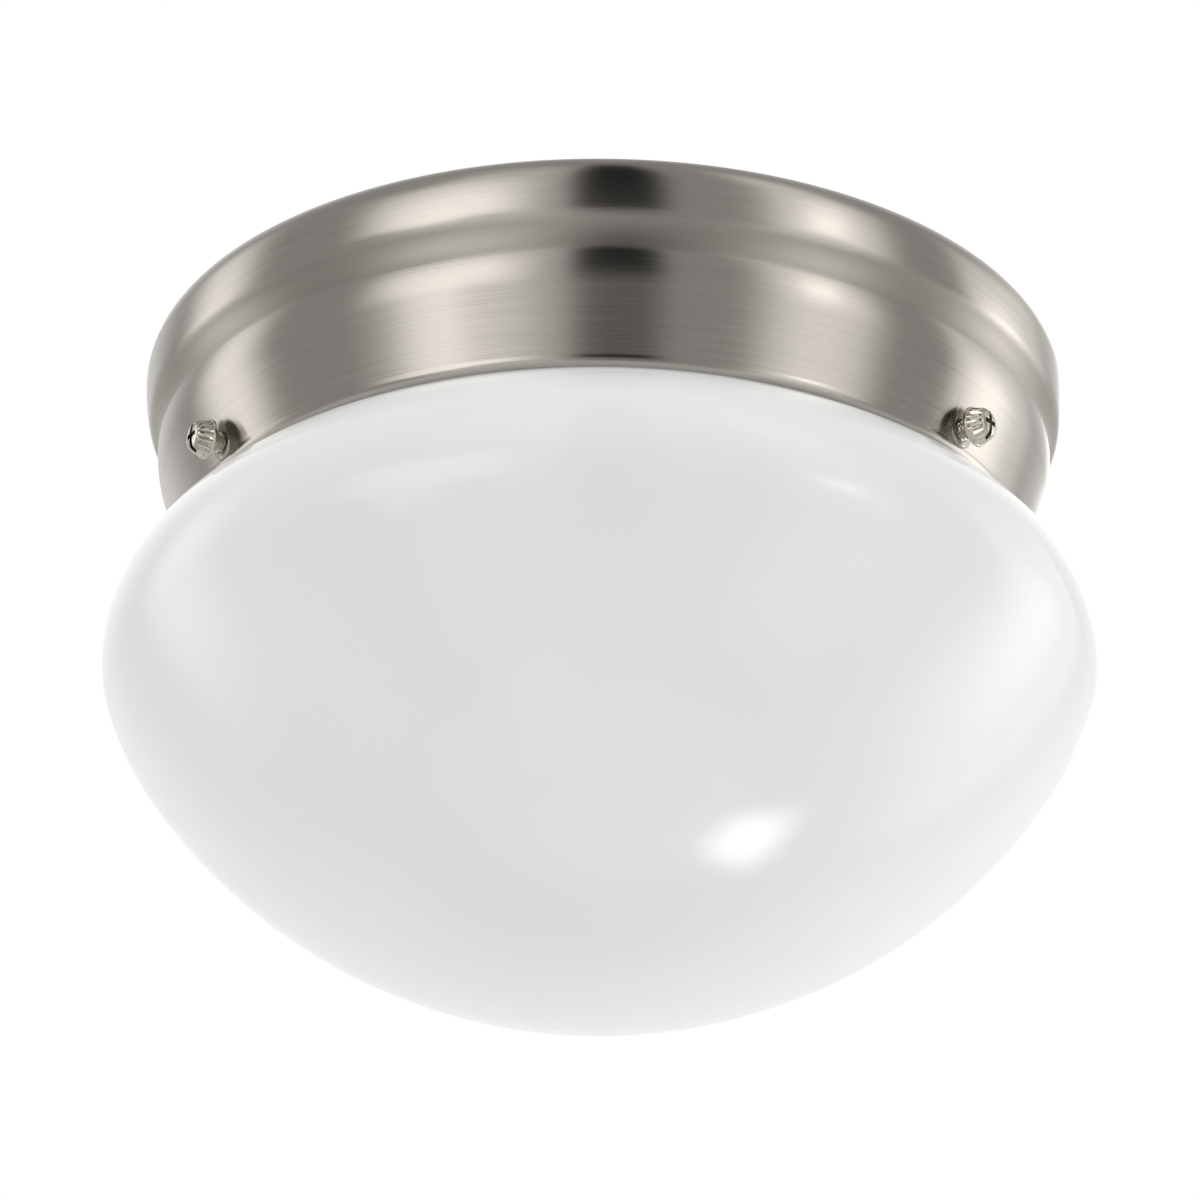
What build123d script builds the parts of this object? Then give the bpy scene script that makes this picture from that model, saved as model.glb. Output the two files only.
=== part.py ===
from build123d import *
import os
from math import cos, radians, sin

# Flush mount ceiling light: a stepped steel pan holds a blown glass shade by three thumbscrews.
# Millimetres. +Z points up at the ceiling, whose plane is z = 0. The origin is the middle of the
# mounting strap's upper face. The front, where two thumbscrews show, is -Y. The lamp lies along X.

os.makedirs("parts", exist_ok=True)

# ---------------------------------------------------------------- driving dimensions

# Everything is sized outwards from the outlet box: its two standard screw spacings place the
# canopy screws, these the recess in the pan, this the pan's ring and wall, and these the shade.
box_screw_spacing_small = 69.85
box_screw_spacing_large = 88.9
canopy_screw_offset = 7.55
canopy_screw_margin = 6.5

# Pan: one sheet, from the recess around the outlet box to the curled lip
sheet = 0.8
pan_depth = 40.9
flat_ring_width = 19.05
corner_radius = 6.0
upper_bead_radius = 32.0
upper_bead_lean = 11
knee_radius = 4.7
knee_lean = 41
cove_radius = 5.4
cove_rise = 14
brow_radius = 4.4
lower_bead_radius = 21.2
taper_lean = 17.5
flare_radius = 2.4
flare_lean = 3
curl_radius = 1.5
curl_lean = 85
recess_depth = 9.0
recess_bend = 2.0
recess_lean = 75

# Shade: one blown wall that hangs from the bead at its neck
shade_overhang = 18.65
shade_wall = 3.0
neck_gap = 5.65
neck_fillet = 2.0
neck_slope = 60
shoulder_run = 3.9
shoulder_slope = 30
upper_shoulder_radius = 25.5
lower_shoulder_radius = 20.0
lower_shoulder_slope = -20
haunch_radius = 56.0
haunch_slope = -35
bead_stand = 2.3
bead_height = 3.6
bead_round = 1.2
bead_rest_gap = 0.3
neck_grip = 1.65

# Thumbscrews
clamp_azimuths = {"left": -151.0, "right": -35.6, "rear": 86.7}
clamp_rim_gap = 4.45
clamp_shank_radius = 2.0
clamp_pitch = 0.7
clamp_thread_depth = 0.35
clamp_tip_gap = 0.3
clamp_tip_chamfer = 0.6
clamp_head_gap = 2.5
clamp_flange_radius = 3.85
clamp_flange_height = 0.6
clamp_grip_radius = 3.6
clamp_grip_height = 2.3
clamp_dome_height = 0.8
clamp_dome_radius = 2.6
clamp_slot_width = 0.8
clamp_slot_depth = 1.1
clamp_cross_length = 3.4
scallop_count = 16
scallop_radius = 0.42
collar_radius = 3.3
collar_reach = 1.9
collar_blank_length = 8.5

# Strap, canopy screws and ground screw
strap_end_gap = 1.0
strap_width = 19.0
strap_thickness = 2.0
box_slot_radius = 2.3
nipple_hole_radius = 5.2
ground_screw_y = 18.0
screw_radius = 2.0
screw_head_radius = 3.8
screw_head_height = 2.2
screw_head_taper = 18
screw_slot_width = 0.9
screw_slot_depth = 1.1

# Wire bushing and insulation pad
bushing_offset = 16.0
bushing_hole_radius = 6.35
bushing_bore_radius = 4.4
bushing_flange_radius = 8.2
bushing_flange_height = 1.2
bushing_snap_radius = 6.9
bushing_snap_height = 1.2
pad_edge_gap = 1.0
pad_thickness = 3.0
pad_clearance = 1.2

# Lamp and socket, on one horizontal axis
lamp_z = -45.0
lamp_length = 107.0
lamp_radius = 30.0
lamp_wall = 0.7
lamp_neck_run = 6.35
cap_length = 27.0
cap_collar_radius = 13.0
cap_collar_length = 5.7
cap_sheet = 0.3
cap_foot = 6.0
cap_foot_slope_length = 1.4
cap_foot_slope_depth = 1.5
cement_gap = 0.2
glass_in_cap = 4.5
thread_pitch = 3.63
thread_depth = 0.8
thread_turns = 4
thread_mean_radius = 12.75
button_radius = 4.5
button_height = 0.9
button_crown_radius = 13.5
insulator_height = 4.2
insulator_radius = 10.7
stem_rod_radius = 3.0
stem_rod_end = 50.0
stem_flare_length = 12.0
filament_wire_radius = 0.35
filament_coil_radius = 0.42
filament_reach = 16.0
filament_half_span = 11.0
filament_bow = 3.0
filament_foot = 1.6
socket_radius = 19.0
socket_rim_radius = 20.2
socket_rim_length = 6.0
socket_back_wall = 10.4
socket_round = 1.5
socket_rim_round = 0.6
sleeve_sheet = 0.4
sleeve_back_radius = 9.0
sleeve_seat_gap = 0.1
contact_radius = 5.0
contact_sheet = 0.6
terminal_offset = 12.5
terminal_radius = 1.6
terminal_head_radius = 3.2
terminal_head_height = 1.8
terminal_length = 5.0

# Socket bracket and rivets
bracket_neck_gap = 7.3
bracket_sheet = 1.2
bracket_width = 14.0
bracket_bend = 1.2
bracket_foot_length = 28.3
bracket_tail = 8.0
rivet_offsets = (15.3, 24.3)
rivet_radius = 1.6
rivet_head_radius = 3.0
rivet_head_height = 1.1

# Fits
running_clearance = 0.05
hole_clearance = 0.4


# ---------------------------------------------------------------- sections drawn step by step

# A section is a chain of steps along the outside of a wall. Each step is (size, first, last):
# the outward normal stands first degrees above the horizontal where the step starts and last
# degrees where it ends. Equal angles give a straight run of that length, and other angles give
# an arc of that radius, negative where the wall is hollow seen from outside.


def normal(angle):
    return Vector(cos(radians(angle)), sin(radians(angle)))


def downhill(angle):
    return Vector(sin(radians(angle)), -cos(radians(angle)))


def step_end(start, size, first, last):
    if first == last:
        return start + size * downhill(first)
    return start + size * (normal(last) - normal(first))


def chain_end(start, steps):
    for size, first, last in steps:
        start = step_end(start, size, first, last)
    return start


def draw_chain(start, steps, depth):
    """Draw the chain, depth under the outside of the wall, and return both its ends."""
    opening = start - depth * normal(steps[0][1])
    for size, first, last in steps:
        end = step_end(start, size, first, last)
        near = start - depth * normal(first)
        far = end - depth * normal(last)
        if first == last:
            Line(near, far)
        else:
            middle = (first + last) / 2
            ThreePointArc(near, step_end(start, size, first, middle) - depth * normal(middle), far)
        start = end
    return opening, far


# ---------------------------------------------------------------- canopy pan

recess_wall_angle = 90 + recess_lean
recess_bends = 2 * recess_bend * (1 - cos(radians(recess_lean)))
recess_wall_run = (recess_depth - recess_bends) / sin(radians(recess_lean))
recess_steps = [
    (-recess_bend, 90, recess_wall_angle),
    (recess_wall_run, recess_wall_angle, recess_wall_angle),
    (recess_bend, recess_wall_angle, 90),
]
canopy_screw_spacing = box_screw_spacing_large + 2 * canopy_screw_offset
plate_radius = canopy_screw_spacing / 2 + canopy_screw_margin
plate_top = -recess_depth
plate_bottom = plate_top - sheet
recess_radius = plate_radius + chain_end(Vector(0, 0), recess_steps).X

pan_corner = Vector(recess_radius + flat_ring_width, 0)
pan_beads = [
    (corner_radius, 90, 0),
    (upper_bead_radius, 0, -upper_bead_lean),
    (knee_radius, -upper_bead_lean, -knee_lean),
    (-cove_radius, -knee_lean, cove_rise),
    (brow_radius, cove_rise, 0),
    (lower_bead_radius, 0, -taper_lean),
]
pan_lip = [
    (-flare_radius, -taper_lean, -flare_lean),
    (curl_radius, -flare_lean, -curl_lean),
]
beads_end = chain_end(pan_corner, pan_beads)
lip_drop = -chain_end(Vector(0, 0), pan_lip).Y
taper_drop = pan_depth + beads_end.Y - lip_drop
taper_run = taper_drop / cos(radians(taper_lean))

pan_steps = (
    [(plate_radius, 90, 90)]
    + recess_steps
    + [(flat_ring_width, 90, 90)]
    + pan_beads
    + [(taper_run, -taper_lean, -taper_lean)]
    + pan_lip
)


def wall_radius(height):
    """Outside radius of the pan's straight taper at a height."""
    return beads_end.X - (beads_end.Y - height) * sin(radians(taper_lean)) / cos(radians(taper_lean))


clamp_z = -(pan_depth - clamp_rim_gap)
clamp_wall_radius = wall_radius(clamp_z)
wall_across = sheet / cos(radians(taper_lean))
collar_inner_radius = clamp_wall_radius - wall_across - collar_reach
neck_radius = clamp_wall_radius - neck_gap
bracket_back_x = -(neck_radius - shade_wall - bracket_neck_gap)
bracket_foot_end_x = bracket_back_x + bracket_foot_length
rivet_positions = [bracket_back_x + offset for offset in rivet_offsets]
bushing_x = bracket_foot_end_x + bushing_offset
strap_slot_centre = (box_screw_spacing_small + box_screw_spacing_large) / 4
strap_slot_length = (box_screw_spacing_large - box_screw_spacing_small) / 2 + 2 * box_slot_radius


def radial_plane(azimuth, distance, height):
    """Plane square to a radius of the light, with its normal pointing outwards."""
    outwards = Vector(cos(radians(azimuth)), sin(radians(azimuth)), 0)
    return Plane(
        origin=outwards * distance + Vector(0, 0, height),
        x_dir=Vector(-sin(radians(azimuth)), cos(radians(azimuth)), 0),
        z_dir=outwards,
    )


with BuildPart() as clamp_collars:
    for azimuth in clamp_azimuths.values():
        with BuildSketch(radial_plane(azimuth, collar_inner_radius, clamp_z)):
            Circle(collar_radius)
        extrude(amount=collar_blank_length)
    with BuildSketch(Plane.XZ):
        with BuildLine():
            inner_top = Vector(wall_radius(beads_end.Y) - wall_across / 2, beads_end.Y)
            inner_foot = Vector(wall_radius(-pan_depth) - wall_across / 2, -pan_depth)
            Polyline((0, beads_end.Y), inner_top, inner_foot, (0, -pan_depth), close=True)
        make_face()
    revolve(axis=Axis.Z, mode=Mode.INTERSECT)

with BuildPart() as canopy_pan:
    with BuildSketch(Plane.XZ):
        with BuildLine():
            outer_start, outer_end = draw_chain(Vector(0, plate_top), pan_steps, 0)
            inner_start, inner_end = draw_chain(Vector(0, plate_top), pan_steps, sheet)
            Line(outer_start, inner_start)
            Line(outer_end, inner_end)
        make_face()
    revolve(axis=Axis.Z)
    add(clamp_collars.part)
    for azimuth in clamp_azimuths.values():
        with BuildSketch(radial_plane(azimuth, collar_inner_radius, clamp_z)):
            Circle(clamp_shank_radius + running_clearance)
        extrude(amount=collar_blank_length, mode=Mode.SUBTRACT)
    with BuildSketch(Plane.XY.offset(plate_bottom)):
        with Locations((0, -canopy_screw_spacing / 2), (0, canopy_screw_spacing / 2)):
            Circle(screw_radius + hole_clearance)
        with Locations((bushing_x, 0)):
            Circle(bushing_hole_radius)
        with Locations(*[(x, 0) for x in rivet_positions]):
            Circle(rivet_radius + running_clearance)
    extrude(amount=sheet, mode=Mode.SUBTRACT)
canopy_pan.part.label = "canopy_pan"
export_step(canopy_pan.part, "parts/canopy_pan.step")


# ---------------------------------------------------------------- glass shade

shade_bead_bottom = clamp_z + clamp_shank_radius + bead_rest_gap
shade_bead_top = shade_bead_bottom + bead_height
shade_radius = neck_radius + shade_overhang
neck_foot = Vector(neck_radius, clamp_z - neck_grip)
neck_to_shoulder = [
    (-neck_fillet, 0, neck_slope),
    (shoulder_run, neck_slope, neck_slope),
]
shoulder_start = chain_end(neck_foot, neck_to_shoulder)
upper_shoulder_spread = upper_shoulder_radius * (1 - normal(shoulder_slope).X)
lower_shoulder_spread = lower_shoulder_radius * (1 - normal(lower_shoulder_slope).X)
haunch_spread = haunch_radius * (normal(lower_shoulder_slope).X - normal(haunch_slope).X)
shoulder_spread = shade_radius - shoulder_start.X - upper_shoulder_spread
shoulder_radius = shoulder_spread / (normal(shoulder_slope).X - normal(neck_slope).X)
crown_radius = (shade_radius - lower_shoulder_spread - haunch_spread) / normal(haunch_slope).X
shade_steps = neck_to_shoulder + [
    (shoulder_radius, neck_slope, shoulder_slope),
    (upper_shoulder_radius, shoulder_slope, 0),
    (lower_shoulder_radius, 0, lower_shoulder_slope),
    (haunch_radius, lower_shoulder_slope, haunch_slope),
    (crown_radius, haunch_slope, -90),
]

with BuildPart() as glass_shade:
    with BuildSketch(Plane.XZ) as shade_section:
        with BuildLine():
            outer_foot, outer_pole = draw_chain(neck_foot, shade_steps, 0)
            inner_foot, inner_pole = draw_chain(neck_foot, shade_steps, shade_wall)
            Line(outer_pole, inner_pole)
            Polyline(
                inner_foot,
                (neck_radius - shade_wall, shade_bead_top),
                (neck_radius + bead_stand, shade_bead_top),
                (neck_radius + bead_stand, shade_bead_bottom),
                (neck_radius, shade_bead_bottom),
                outer_foot,
            )
        make_face()
        top_corners = shade_section.vertices().group_by(Axis.Y)[-1]
        fillet(top_corners, bead_round)
        bead_edge = shade_section.vertices().sort_by_distance(
            Vector(neck_radius + bead_stand, shade_bead_bottom)
        )[0]
        fillet(bead_edge, bead_round)
    revolve(axis=Axis.Z)
glass_shade.part.label = "glass_shade"
export_step(glass_shade.part, "parts/glass_shade.step")


# ---------------------------------------------------------------- thumbscrews

clamp_tip = neck_radius + clamp_tip_gap
clamp_head_start = clamp_wall_radius + clamp_head_gap
clamp_grip_start = clamp_head_start + clamp_flange_height
clamp_grip_end = clamp_grip_start + clamp_grip_height
clamp_front = clamp_grip_end + clamp_dome_height
clamp_threads = int((clamp_head_start - clamp_tip - clamp_tip_chamfer) / clamp_pitch)
clamp_root_radius = clamp_shank_radius - clamp_thread_depth


def clamp_outline():
    """Half section of a thumbscrew: distance from the light's axis, then radius of the screw."""
    points = [(clamp_tip, 0), (clamp_tip, clamp_root_radius - clamp_tip_chamfer / 2)]
    for turn in range(clamp_threads):
        crest = clamp_tip + clamp_tip_chamfer + turn * clamp_pitch
        points += [(crest, clamp_shank_radius), (crest + clamp_pitch / 2, clamp_root_radius)]
    points += [
        (clamp_head_start, clamp_root_radius),
        (clamp_head_start, clamp_flange_radius),
        (clamp_grip_start, clamp_flange_radius),
        (clamp_grip_start, clamp_grip_radius),
        (clamp_grip_end, clamp_grip_radius),
        (clamp_front, clamp_dome_radius),
        (clamp_front, 0),
    ]
    return points


for side, azimuth in clamp_azimuths.items():
    outwards = Vector(cos(radians(azimuth)), sin(radians(azimuth)), 0)
    section = Plane(
        origin=(0, 0, clamp_z),
        x_dir=outwards,
        z_dir=Vector(sin(radians(azimuth)), -cos(radians(azimuth)), 0),
    )
    with BuildPart() as thumbscrew:
        with BuildSketch(section):
            with BuildLine():
                Polyline(*clamp_outline(), close=True)
            make_face()
        revolve(axis=Axis((0, 0, clamp_z), outwards))
        with BuildSketch(radial_plane(azimuth, clamp_grip_start, clamp_z)):
            with PolarLocations(clamp_grip_radius, scallop_count):
                Circle(scallop_radius)
        extrude(amount=clamp_grip_height + clamp_dome_height, mode=Mode.SUBTRACT)
        with BuildSketch(radial_plane(azimuth, clamp_front - clamp_slot_depth, clamp_z)):
            Rectangle(clamp_slot_width, 2 * clamp_flange_radius)
            Rectangle(clamp_cross_length, clamp_slot_width)
        extrude(amount=clamp_slot_depth, mode=Mode.SUBTRACT)
    thumbscrew.part.label = f"thumbscrew_{side}"
    export_step(thumbscrew.part, f"parts/thumbscrew_{side}.step")


# ---------------------------------------------------------------- strap and its screws


def add_screw(seat, radius, length, head_radius, head_height):
    """A slotted screw in the part being built: seat lies under its head and faces outwards."""
    with BuildSketch(seat) as head:
        Circle(head_radius)
    extrude(head.sketch, amount=head_height, taper=screw_head_taper)
    with BuildSketch(seat) as shank:
        Circle(radius)
    extrude(shank.sketch, amount=-length)
    with BuildSketch(seat.offset(head_height - screw_slot_depth)) as slot:
        Rectangle(2 * head_radius, screw_slot_width)
    extrude(slot.sketch, amount=screw_slot_depth, mode=Mode.SUBTRACT)


def facing_down(x, y, height):
    return Plane(origin=(x, y, height), x_dir=(1, 0, 0), z_dir=(0, 0, -1))


strap_length = 2 * (plate_radius - strap_end_gap)
with BuildPart() as mounting_strap:
    with BuildSketch(Plane.XY.offset(-strap_thickness)):
        SlotOverall(strap_length, strap_width, rotation=90)
        with Locations((0, -strap_slot_centre), (0, strap_slot_centre)):
            SlotOverall(strap_slot_length, 2 * box_slot_radius, rotation=90, mode=Mode.SUBTRACT)
        with Locations((0, -canopy_screw_spacing / 2), (0, canopy_screw_spacing / 2)):
            Circle(screw_radius + running_clearance, mode=Mode.SUBTRACT)
        with Locations((0, ground_screw_y)):
            Circle(screw_radius + running_clearance, mode=Mode.SUBTRACT)
        Circle(nipple_hole_radius, mode=Mode.SUBTRACT)
    extrude(amount=strap_thickness)
mounting_strap.part.label = "mounting_strap"
export_step(mounting_strap.part, "parts/mounting_strap.step")

with BuildPart() as canopy_screws:
    for side in (-1, 1):
        seat = facing_down(0, side * canopy_screw_spacing / 2, plate_bottom)
        add_screw(seat, screw_radius, -plate_bottom, screw_head_radius, screw_head_height)
canopy_screws.part.label = "canopy_screws"
export_step(canopy_screws.part, "parts/canopy_screws.step")

with BuildPart() as ground_screw:
    seat = facing_down(0, ground_screw_y, -strap_thickness)
    add_screw(seat, screw_radius, strap_thickness, screw_head_radius, screw_head_height)
ground_screw.part.label = "ground_screw"
export_step(ground_screw.part, "parts/ground_screw.step")


# ---------------------------------------------------------------- bushing and insulation pad

with BuildPart() as wire_bushing:
    with BuildSketch(Plane(origin=(bushing_x, 0, plate_bottom - bushing_flange_height))):
        Circle(bushing_flange_radius)
    extrude(amount=bushing_flange_height)
    with BuildSketch(Plane(origin=(bushing_x, 0, plate_bottom))):
        Circle(bushing_hole_radius - running_clearance)
    extrude(amount=sheet)
    with BuildSketch(Plane(origin=(bushing_x, 0, plate_top))):
        Circle(bushing_snap_radius)
    extrude(amount=bushing_snap_height, taper=screw_head_taper)
    with BuildSketch(Plane(origin=(bushing_x, 0, plate_bottom - bushing_flange_height))):
        Circle(bushing_bore_radius)
    extrude(amount=bushing_flange_height + sheet + bushing_snap_height, mode=Mode.SUBTRACT)
wire_bushing.part.label = "wire_bushing"
export_step(wire_bushing.part, "parts/wire_bushing.step")

pad_radius = plate_radius - pad_edge_gap
with BuildPart() as insulation_pad:
    with BuildSketch(Plane.XY.offset(plate_top)):
        Circle(pad_radius)
        with Locations((0, -canopy_screw_spacing / 2), (0, canopy_screw_spacing / 2)):
            Circle(screw_radius + pad_clearance, mode=Mode.SUBTRACT)
        with Locations((bushing_x, 0)):
            Circle(bushing_snap_radius + pad_clearance, mode=Mode.SUBTRACT)
        with Locations(*[(x, 0) for x in rivet_positions]):
            Circle(rivet_head_radius + pad_clearance, mode=Mode.SUBTRACT)
    extrude(amount=pad_thickness)
insulation_pad.part.label = "insulation_pad"
export_step(insulation_pad.part, "parts/insulation_pad.step")


# ---------------------------------------------------------------- lamp

lamp_plane = Plane(origin=(0, 0, lamp_z), x_dir=(1, 0, 0), z_dir=(0, -1, 0))
lamp_axis = Axis((0, 0, lamp_z), (1, 0, 0))
socket_back_x = bracket_back_x + bracket_sheet
cavity_floor_x = socket_back_x + socket_back_wall
contact_x = cavity_floor_x + sleeve_seat_gap + contact_sheet
lamp_tip_x = contact_x + lamp_length
cap_end_x = contact_x + cap_length
thread_start_x = contact_x + cap_foot
thread_end_x = thread_start_x + thread_turns * thread_pitch
lamp_centre_x = lamp_tip_x - lamp_radius
lamp_neck_radius = cap_collar_radius - cap_sheet - cement_gap
lamp_foot_x = cap_end_x - glass_in_cap
lamp_reach = lamp_centre_x - lamp_foot_x - lamp_neck_run
lamp_bulge = lamp_radius - lamp_neck_radius
lamp_waist_radius = (lamp_reach**2 / lamp_bulge - lamp_radius - lamp_neck_radius) / 2


def draw_thread(shift):
    """Crests and roots of the lamp thread in turn, as rings, shift outside the cap's surface."""
    mean = thread_mean_radius + shift
    for half_turn in range(2 * thread_turns):
        start = thread_start_x + half_turn * thread_pitch / 2
        peak = mean + thread_depth / 2 * (-1) ** half_turn
        ThreePointArc(
            (start, mean),
            (start + thread_pitch / 4, peak),
            (start + thread_pitch / 2, mean),
        )


def draw_envelope(depth):
    """Half outline of the lamp's glass, depth inside its surface, from its foot to its tip."""
    neck = lamp_neck_radius - depth
    waist = lamp_waist_radius + depth
    bowl = lamp_radius - depth
    waist_centre = Vector(lamp_foot_x + lamp_neck_run, lamp_neck_radius + lamp_waist_radius)
    bowl_centre = Vector(lamp_centre_x, 0)
    towards_bowl = (bowl_centre - waist_centre).normalized()
    meeting = waist_centre + towards_bowl * waist
    halfway = (towards_bowl + Vector(0, -1)).normalized()
    crown = (Vector(1, 0) - towards_bowl).normalized()
    Line((lamp_foot_x, neck), (waist_centre.X, neck))
    ThreePointArc((waist_centre.X, neck), waist_centre + halfway * waist, meeting)
    ThreePointArc(meeting, bowl_centre + crown * bowl, (lamp_centre_x + bowl, 0))


with BuildPart() as lamp_glass:
    with BuildSketch(lamp_plane):
        with BuildLine():
            draw_envelope(0)
            draw_envelope(lamp_wall)
            Line((lamp_foot_x, lamp_neck_radius), (lamp_foot_x, lamp_neck_radius - lamp_wall))
            Line((lamp_tip_x, 0), (lamp_tip_x - lamp_wall, 0))
        make_face()
    revolve(axis=lamp_axis)
lamp_glass.part.label = "lamp_glass"
export_step(lamp_glass.part, "parts/lamp_glass.step")

with BuildPart() as lamp_cap:
    with BuildSketch(lamp_plane):
        with BuildLine():
            for shift in (0, -cap_sheet):
                mean = thread_mean_radius + shift
                collar = cap_collar_radius + shift
                Line(
                    (thread_start_x - cap_foot_slope_length, mean - cap_foot_slope_depth),
                    (thread_start_x, mean),
                )
                draw_thread(shift)
                Line((thread_end_x, mean), (cap_end_x - cap_collar_length, collar))
                Line((cap_end_x - cap_collar_length, collar), (cap_end_x, collar))
            foot = (thread_start_x - cap_foot_slope_length, thread_mean_radius - cap_foot_slope_depth)
            Line(foot, (foot[0], foot[1] - cap_sheet))
            Line((cap_end_x, cap_collar_radius), (cap_end_x, cap_collar_radius - cap_sheet))
        make_face()
    revolve(axis=lamp_axis)
lamp_cap.part.label = "lamp_cap"
export_step(lamp_cap.part, "parts/lamp_cap.step")

with BuildPart() as lamp_insulator:
    with BuildSketch(lamp_plane):
        with BuildLine():
            Polyline(
                (contact_x + button_height, 0),
                (contact_x + button_height, button_radius),
                (contact_x + insulator_height, insulator_radius),
                (contact_x + cap_foot, insulator_radius),
                (contact_x + cap_foot, 0),
                close=True,
            )
        make_face()
    revolve(axis=lamp_axis)
lamp_insulator.part.label = "lamp_insulator"
export_step(lamp_insulator.part, "parts/lamp_insulator.step")

with BuildPart() as lamp_contact:
    with BuildSketch(lamp_plane):
        with BuildLine():
            RadiusArc((contact_x, 0), (contact_x + button_height, button_radius), button_crown_radius)
            Polyline(
                (contact_x + button_height, button_radius),
                (contact_x + button_height, 0),
                (contact_x, 0),
            )
        make_face()
    revolve(axis=lamp_axis)
lamp_contact.part.label = "lamp_contact"
export_step(lamp_contact.part, "parts/lamp_contact.step")

stem_end_x = contact_x + stem_rod_end
with BuildPart() as lamp_stem:
    with BuildSketch(lamp_plane):
        with BuildLine():
            stem_foot = lamp_neck_radius - lamp_wall - cement_gap
            Polyline(
                (lamp_foot_x, 0),
                (lamp_foot_x, stem_foot),
                (lamp_foot_x + lamp_wall, stem_foot),
                (lamp_foot_x + stem_flare_length, stem_rod_radius),
                (stem_end_x, stem_rod_radius),
                (stem_end_x, 0),
                close=True,
            )
        make_face()
    revolve(axis=lamp_axis)
lamp_stem.part.label = "lamp_stem"
export_step(lamp_stem.part, "parts/lamp_stem.step")

filament_foot_x = stem_end_x + filament_wire_radius / 2 + running_clearance
with BuildPart() as lamp_filament:
    for side in (-1, 1):
        foot = Vector(filament_foot_x, side * filament_foot, lamp_z)
        post = Vector(stem_end_x + filament_reach, side * filament_half_span, lamp_z)
        with BuildSketch(Plane(origin=foot, z_dir=post - foot)):
            Circle(filament_wire_radius)
        extrude(amount=(post - foot).length)
    with BuildLine() as coil_path:
        ThreePointArc(
            (stem_end_x + filament_reach, -filament_half_span, lamp_z),
            (stem_end_x + filament_reach + filament_bow, 0, lamp_z),
            (stem_end_x + filament_reach, filament_half_span, lamp_z),
        )
    with BuildSketch(Plane(origin=coil_path.line @ 0, z_dir=coil_path.line % 0)):
        Circle(filament_coil_radius)
    sweep(path=coil_path.line)
lamp_filament.part.label = "lamp_filament"
export_step(lamp_filament.part, "parts/lamp_filament.step")


# ---------------------------------------------------------------- socket

sleeve_shift = cap_sheet / 2
sleeve_outer_radius = thread_mean_radius + thread_depth / 2 + sleeve_shift + sleeve_sheet
cavity_radius = sleeve_outer_radius + sleeve_seat_gap


def facing_back(y, height):
    return Plane(origin=(socket_back_x, y, height), x_dir=(0, 1, 0), z_dir=(-1, 0, 0))


with BuildPart() as socket_body:
    with BuildSketch(lamp_plane) as socket_section:
        with BuildLine():
            Polyline(
                (socket_back_x, 0),
                (socket_back_x, socket_radius),
                (cap_end_x - socket_rim_length, socket_radius),
                (cap_end_x - socket_rim_length, socket_rim_radius),
                (cap_end_x, socket_rim_radius),
                (cap_end_x, cavity_radius),
                (cavity_floor_x, cavity_radius),
                (cavity_floor_x, 0),
                close=True,
            )
        make_face()
        outer_corners = socket_section.vertices().group_by(Axis.Y)[-1]
        fillet(outer_corners, socket_rim_round)
        back_corner = Vector(socket_back_x, socket_radius)
        fillet(socket_section.vertices().sort_by_distance(back_corner)[0], socket_round)
    revolve(axis=lamp_axis)
    for offset in (-terminal_offset, terminal_offset):
        with BuildSketch(facing_back(offset, lamp_z)):
            Circle(terminal_radius + running_clearance)
        extrude(amount=-terminal_length, mode=Mode.SUBTRACT)
    with BuildSketch(facing_back(0, lamp_z)):
        Circle(screw_radius + running_clearance)
    extrude(amount=-terminal_length, mode=Mode.SUBTRACT)
socket_body.part.label = "socket_body"
export_step(socket_body.part, "parts/socket_body.step")

with BuildPart() as socket_sleeve:
    with BuildSketch(lamp_plane):
        with BuildLine():
            for shift in (sleeve_shift, sleeve_shift + sleeve_sheet):
                draw_thread(shift)
            inner = thread_mean_radius + sleeve_shift
            outer = inner + sleeve_sheet
            Line((thread_end_x, inner), (thread_end_x, outer))
            Polyline(
                (thread_start_x, outer),
                (cavity_floor_x, outer),
                (cavity_floor_x, sleeve_back_radius),
                (cavity_floor_x + sleeve_sheet, sleeve_back_radius),
                (cavity_floor_x + sleeve_sheet, inner),
                (thread_start_x, inner),
            )
        make_face()
    revolve(axis=lamp_axis)
socket_sleeve.part.label = "socket_sleeve"
export_step(socket_sleeve.part, "parts/socket_sleeve.step")

with BuildPart() as socket_contact:
    with BuildSketch(Plane(origin=(cavity_floor_x, 0, lamp_z), x_dir=(0, 1, 0), z_dir=(1, 0, 0))):
        Circle(contact_radius)
    extrude(amount=contact_sheet)
socket_contact.part.label = "socket_contact"
export_step(socket_contact.part, "parts/socket_contact.step")

for finish, offset in (("hot", -terminal_offset), ("neutral", terminal_offset)):
    with BuildPart() as terminal_screw:
        add_screw(
            facing_back(offset, lamp_z),
            terminal_radius,
            terminal_length,
            terminal_head_radius,
            terminal_head_height,
        )
    terminal_screw.part.label = f"{finish}_terminal_screw"
    export_step(terminal_screw.part, f"parts/{finish}_terminal_screw.step")


# ---------------------------------------------------------------- socket bracket

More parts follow.
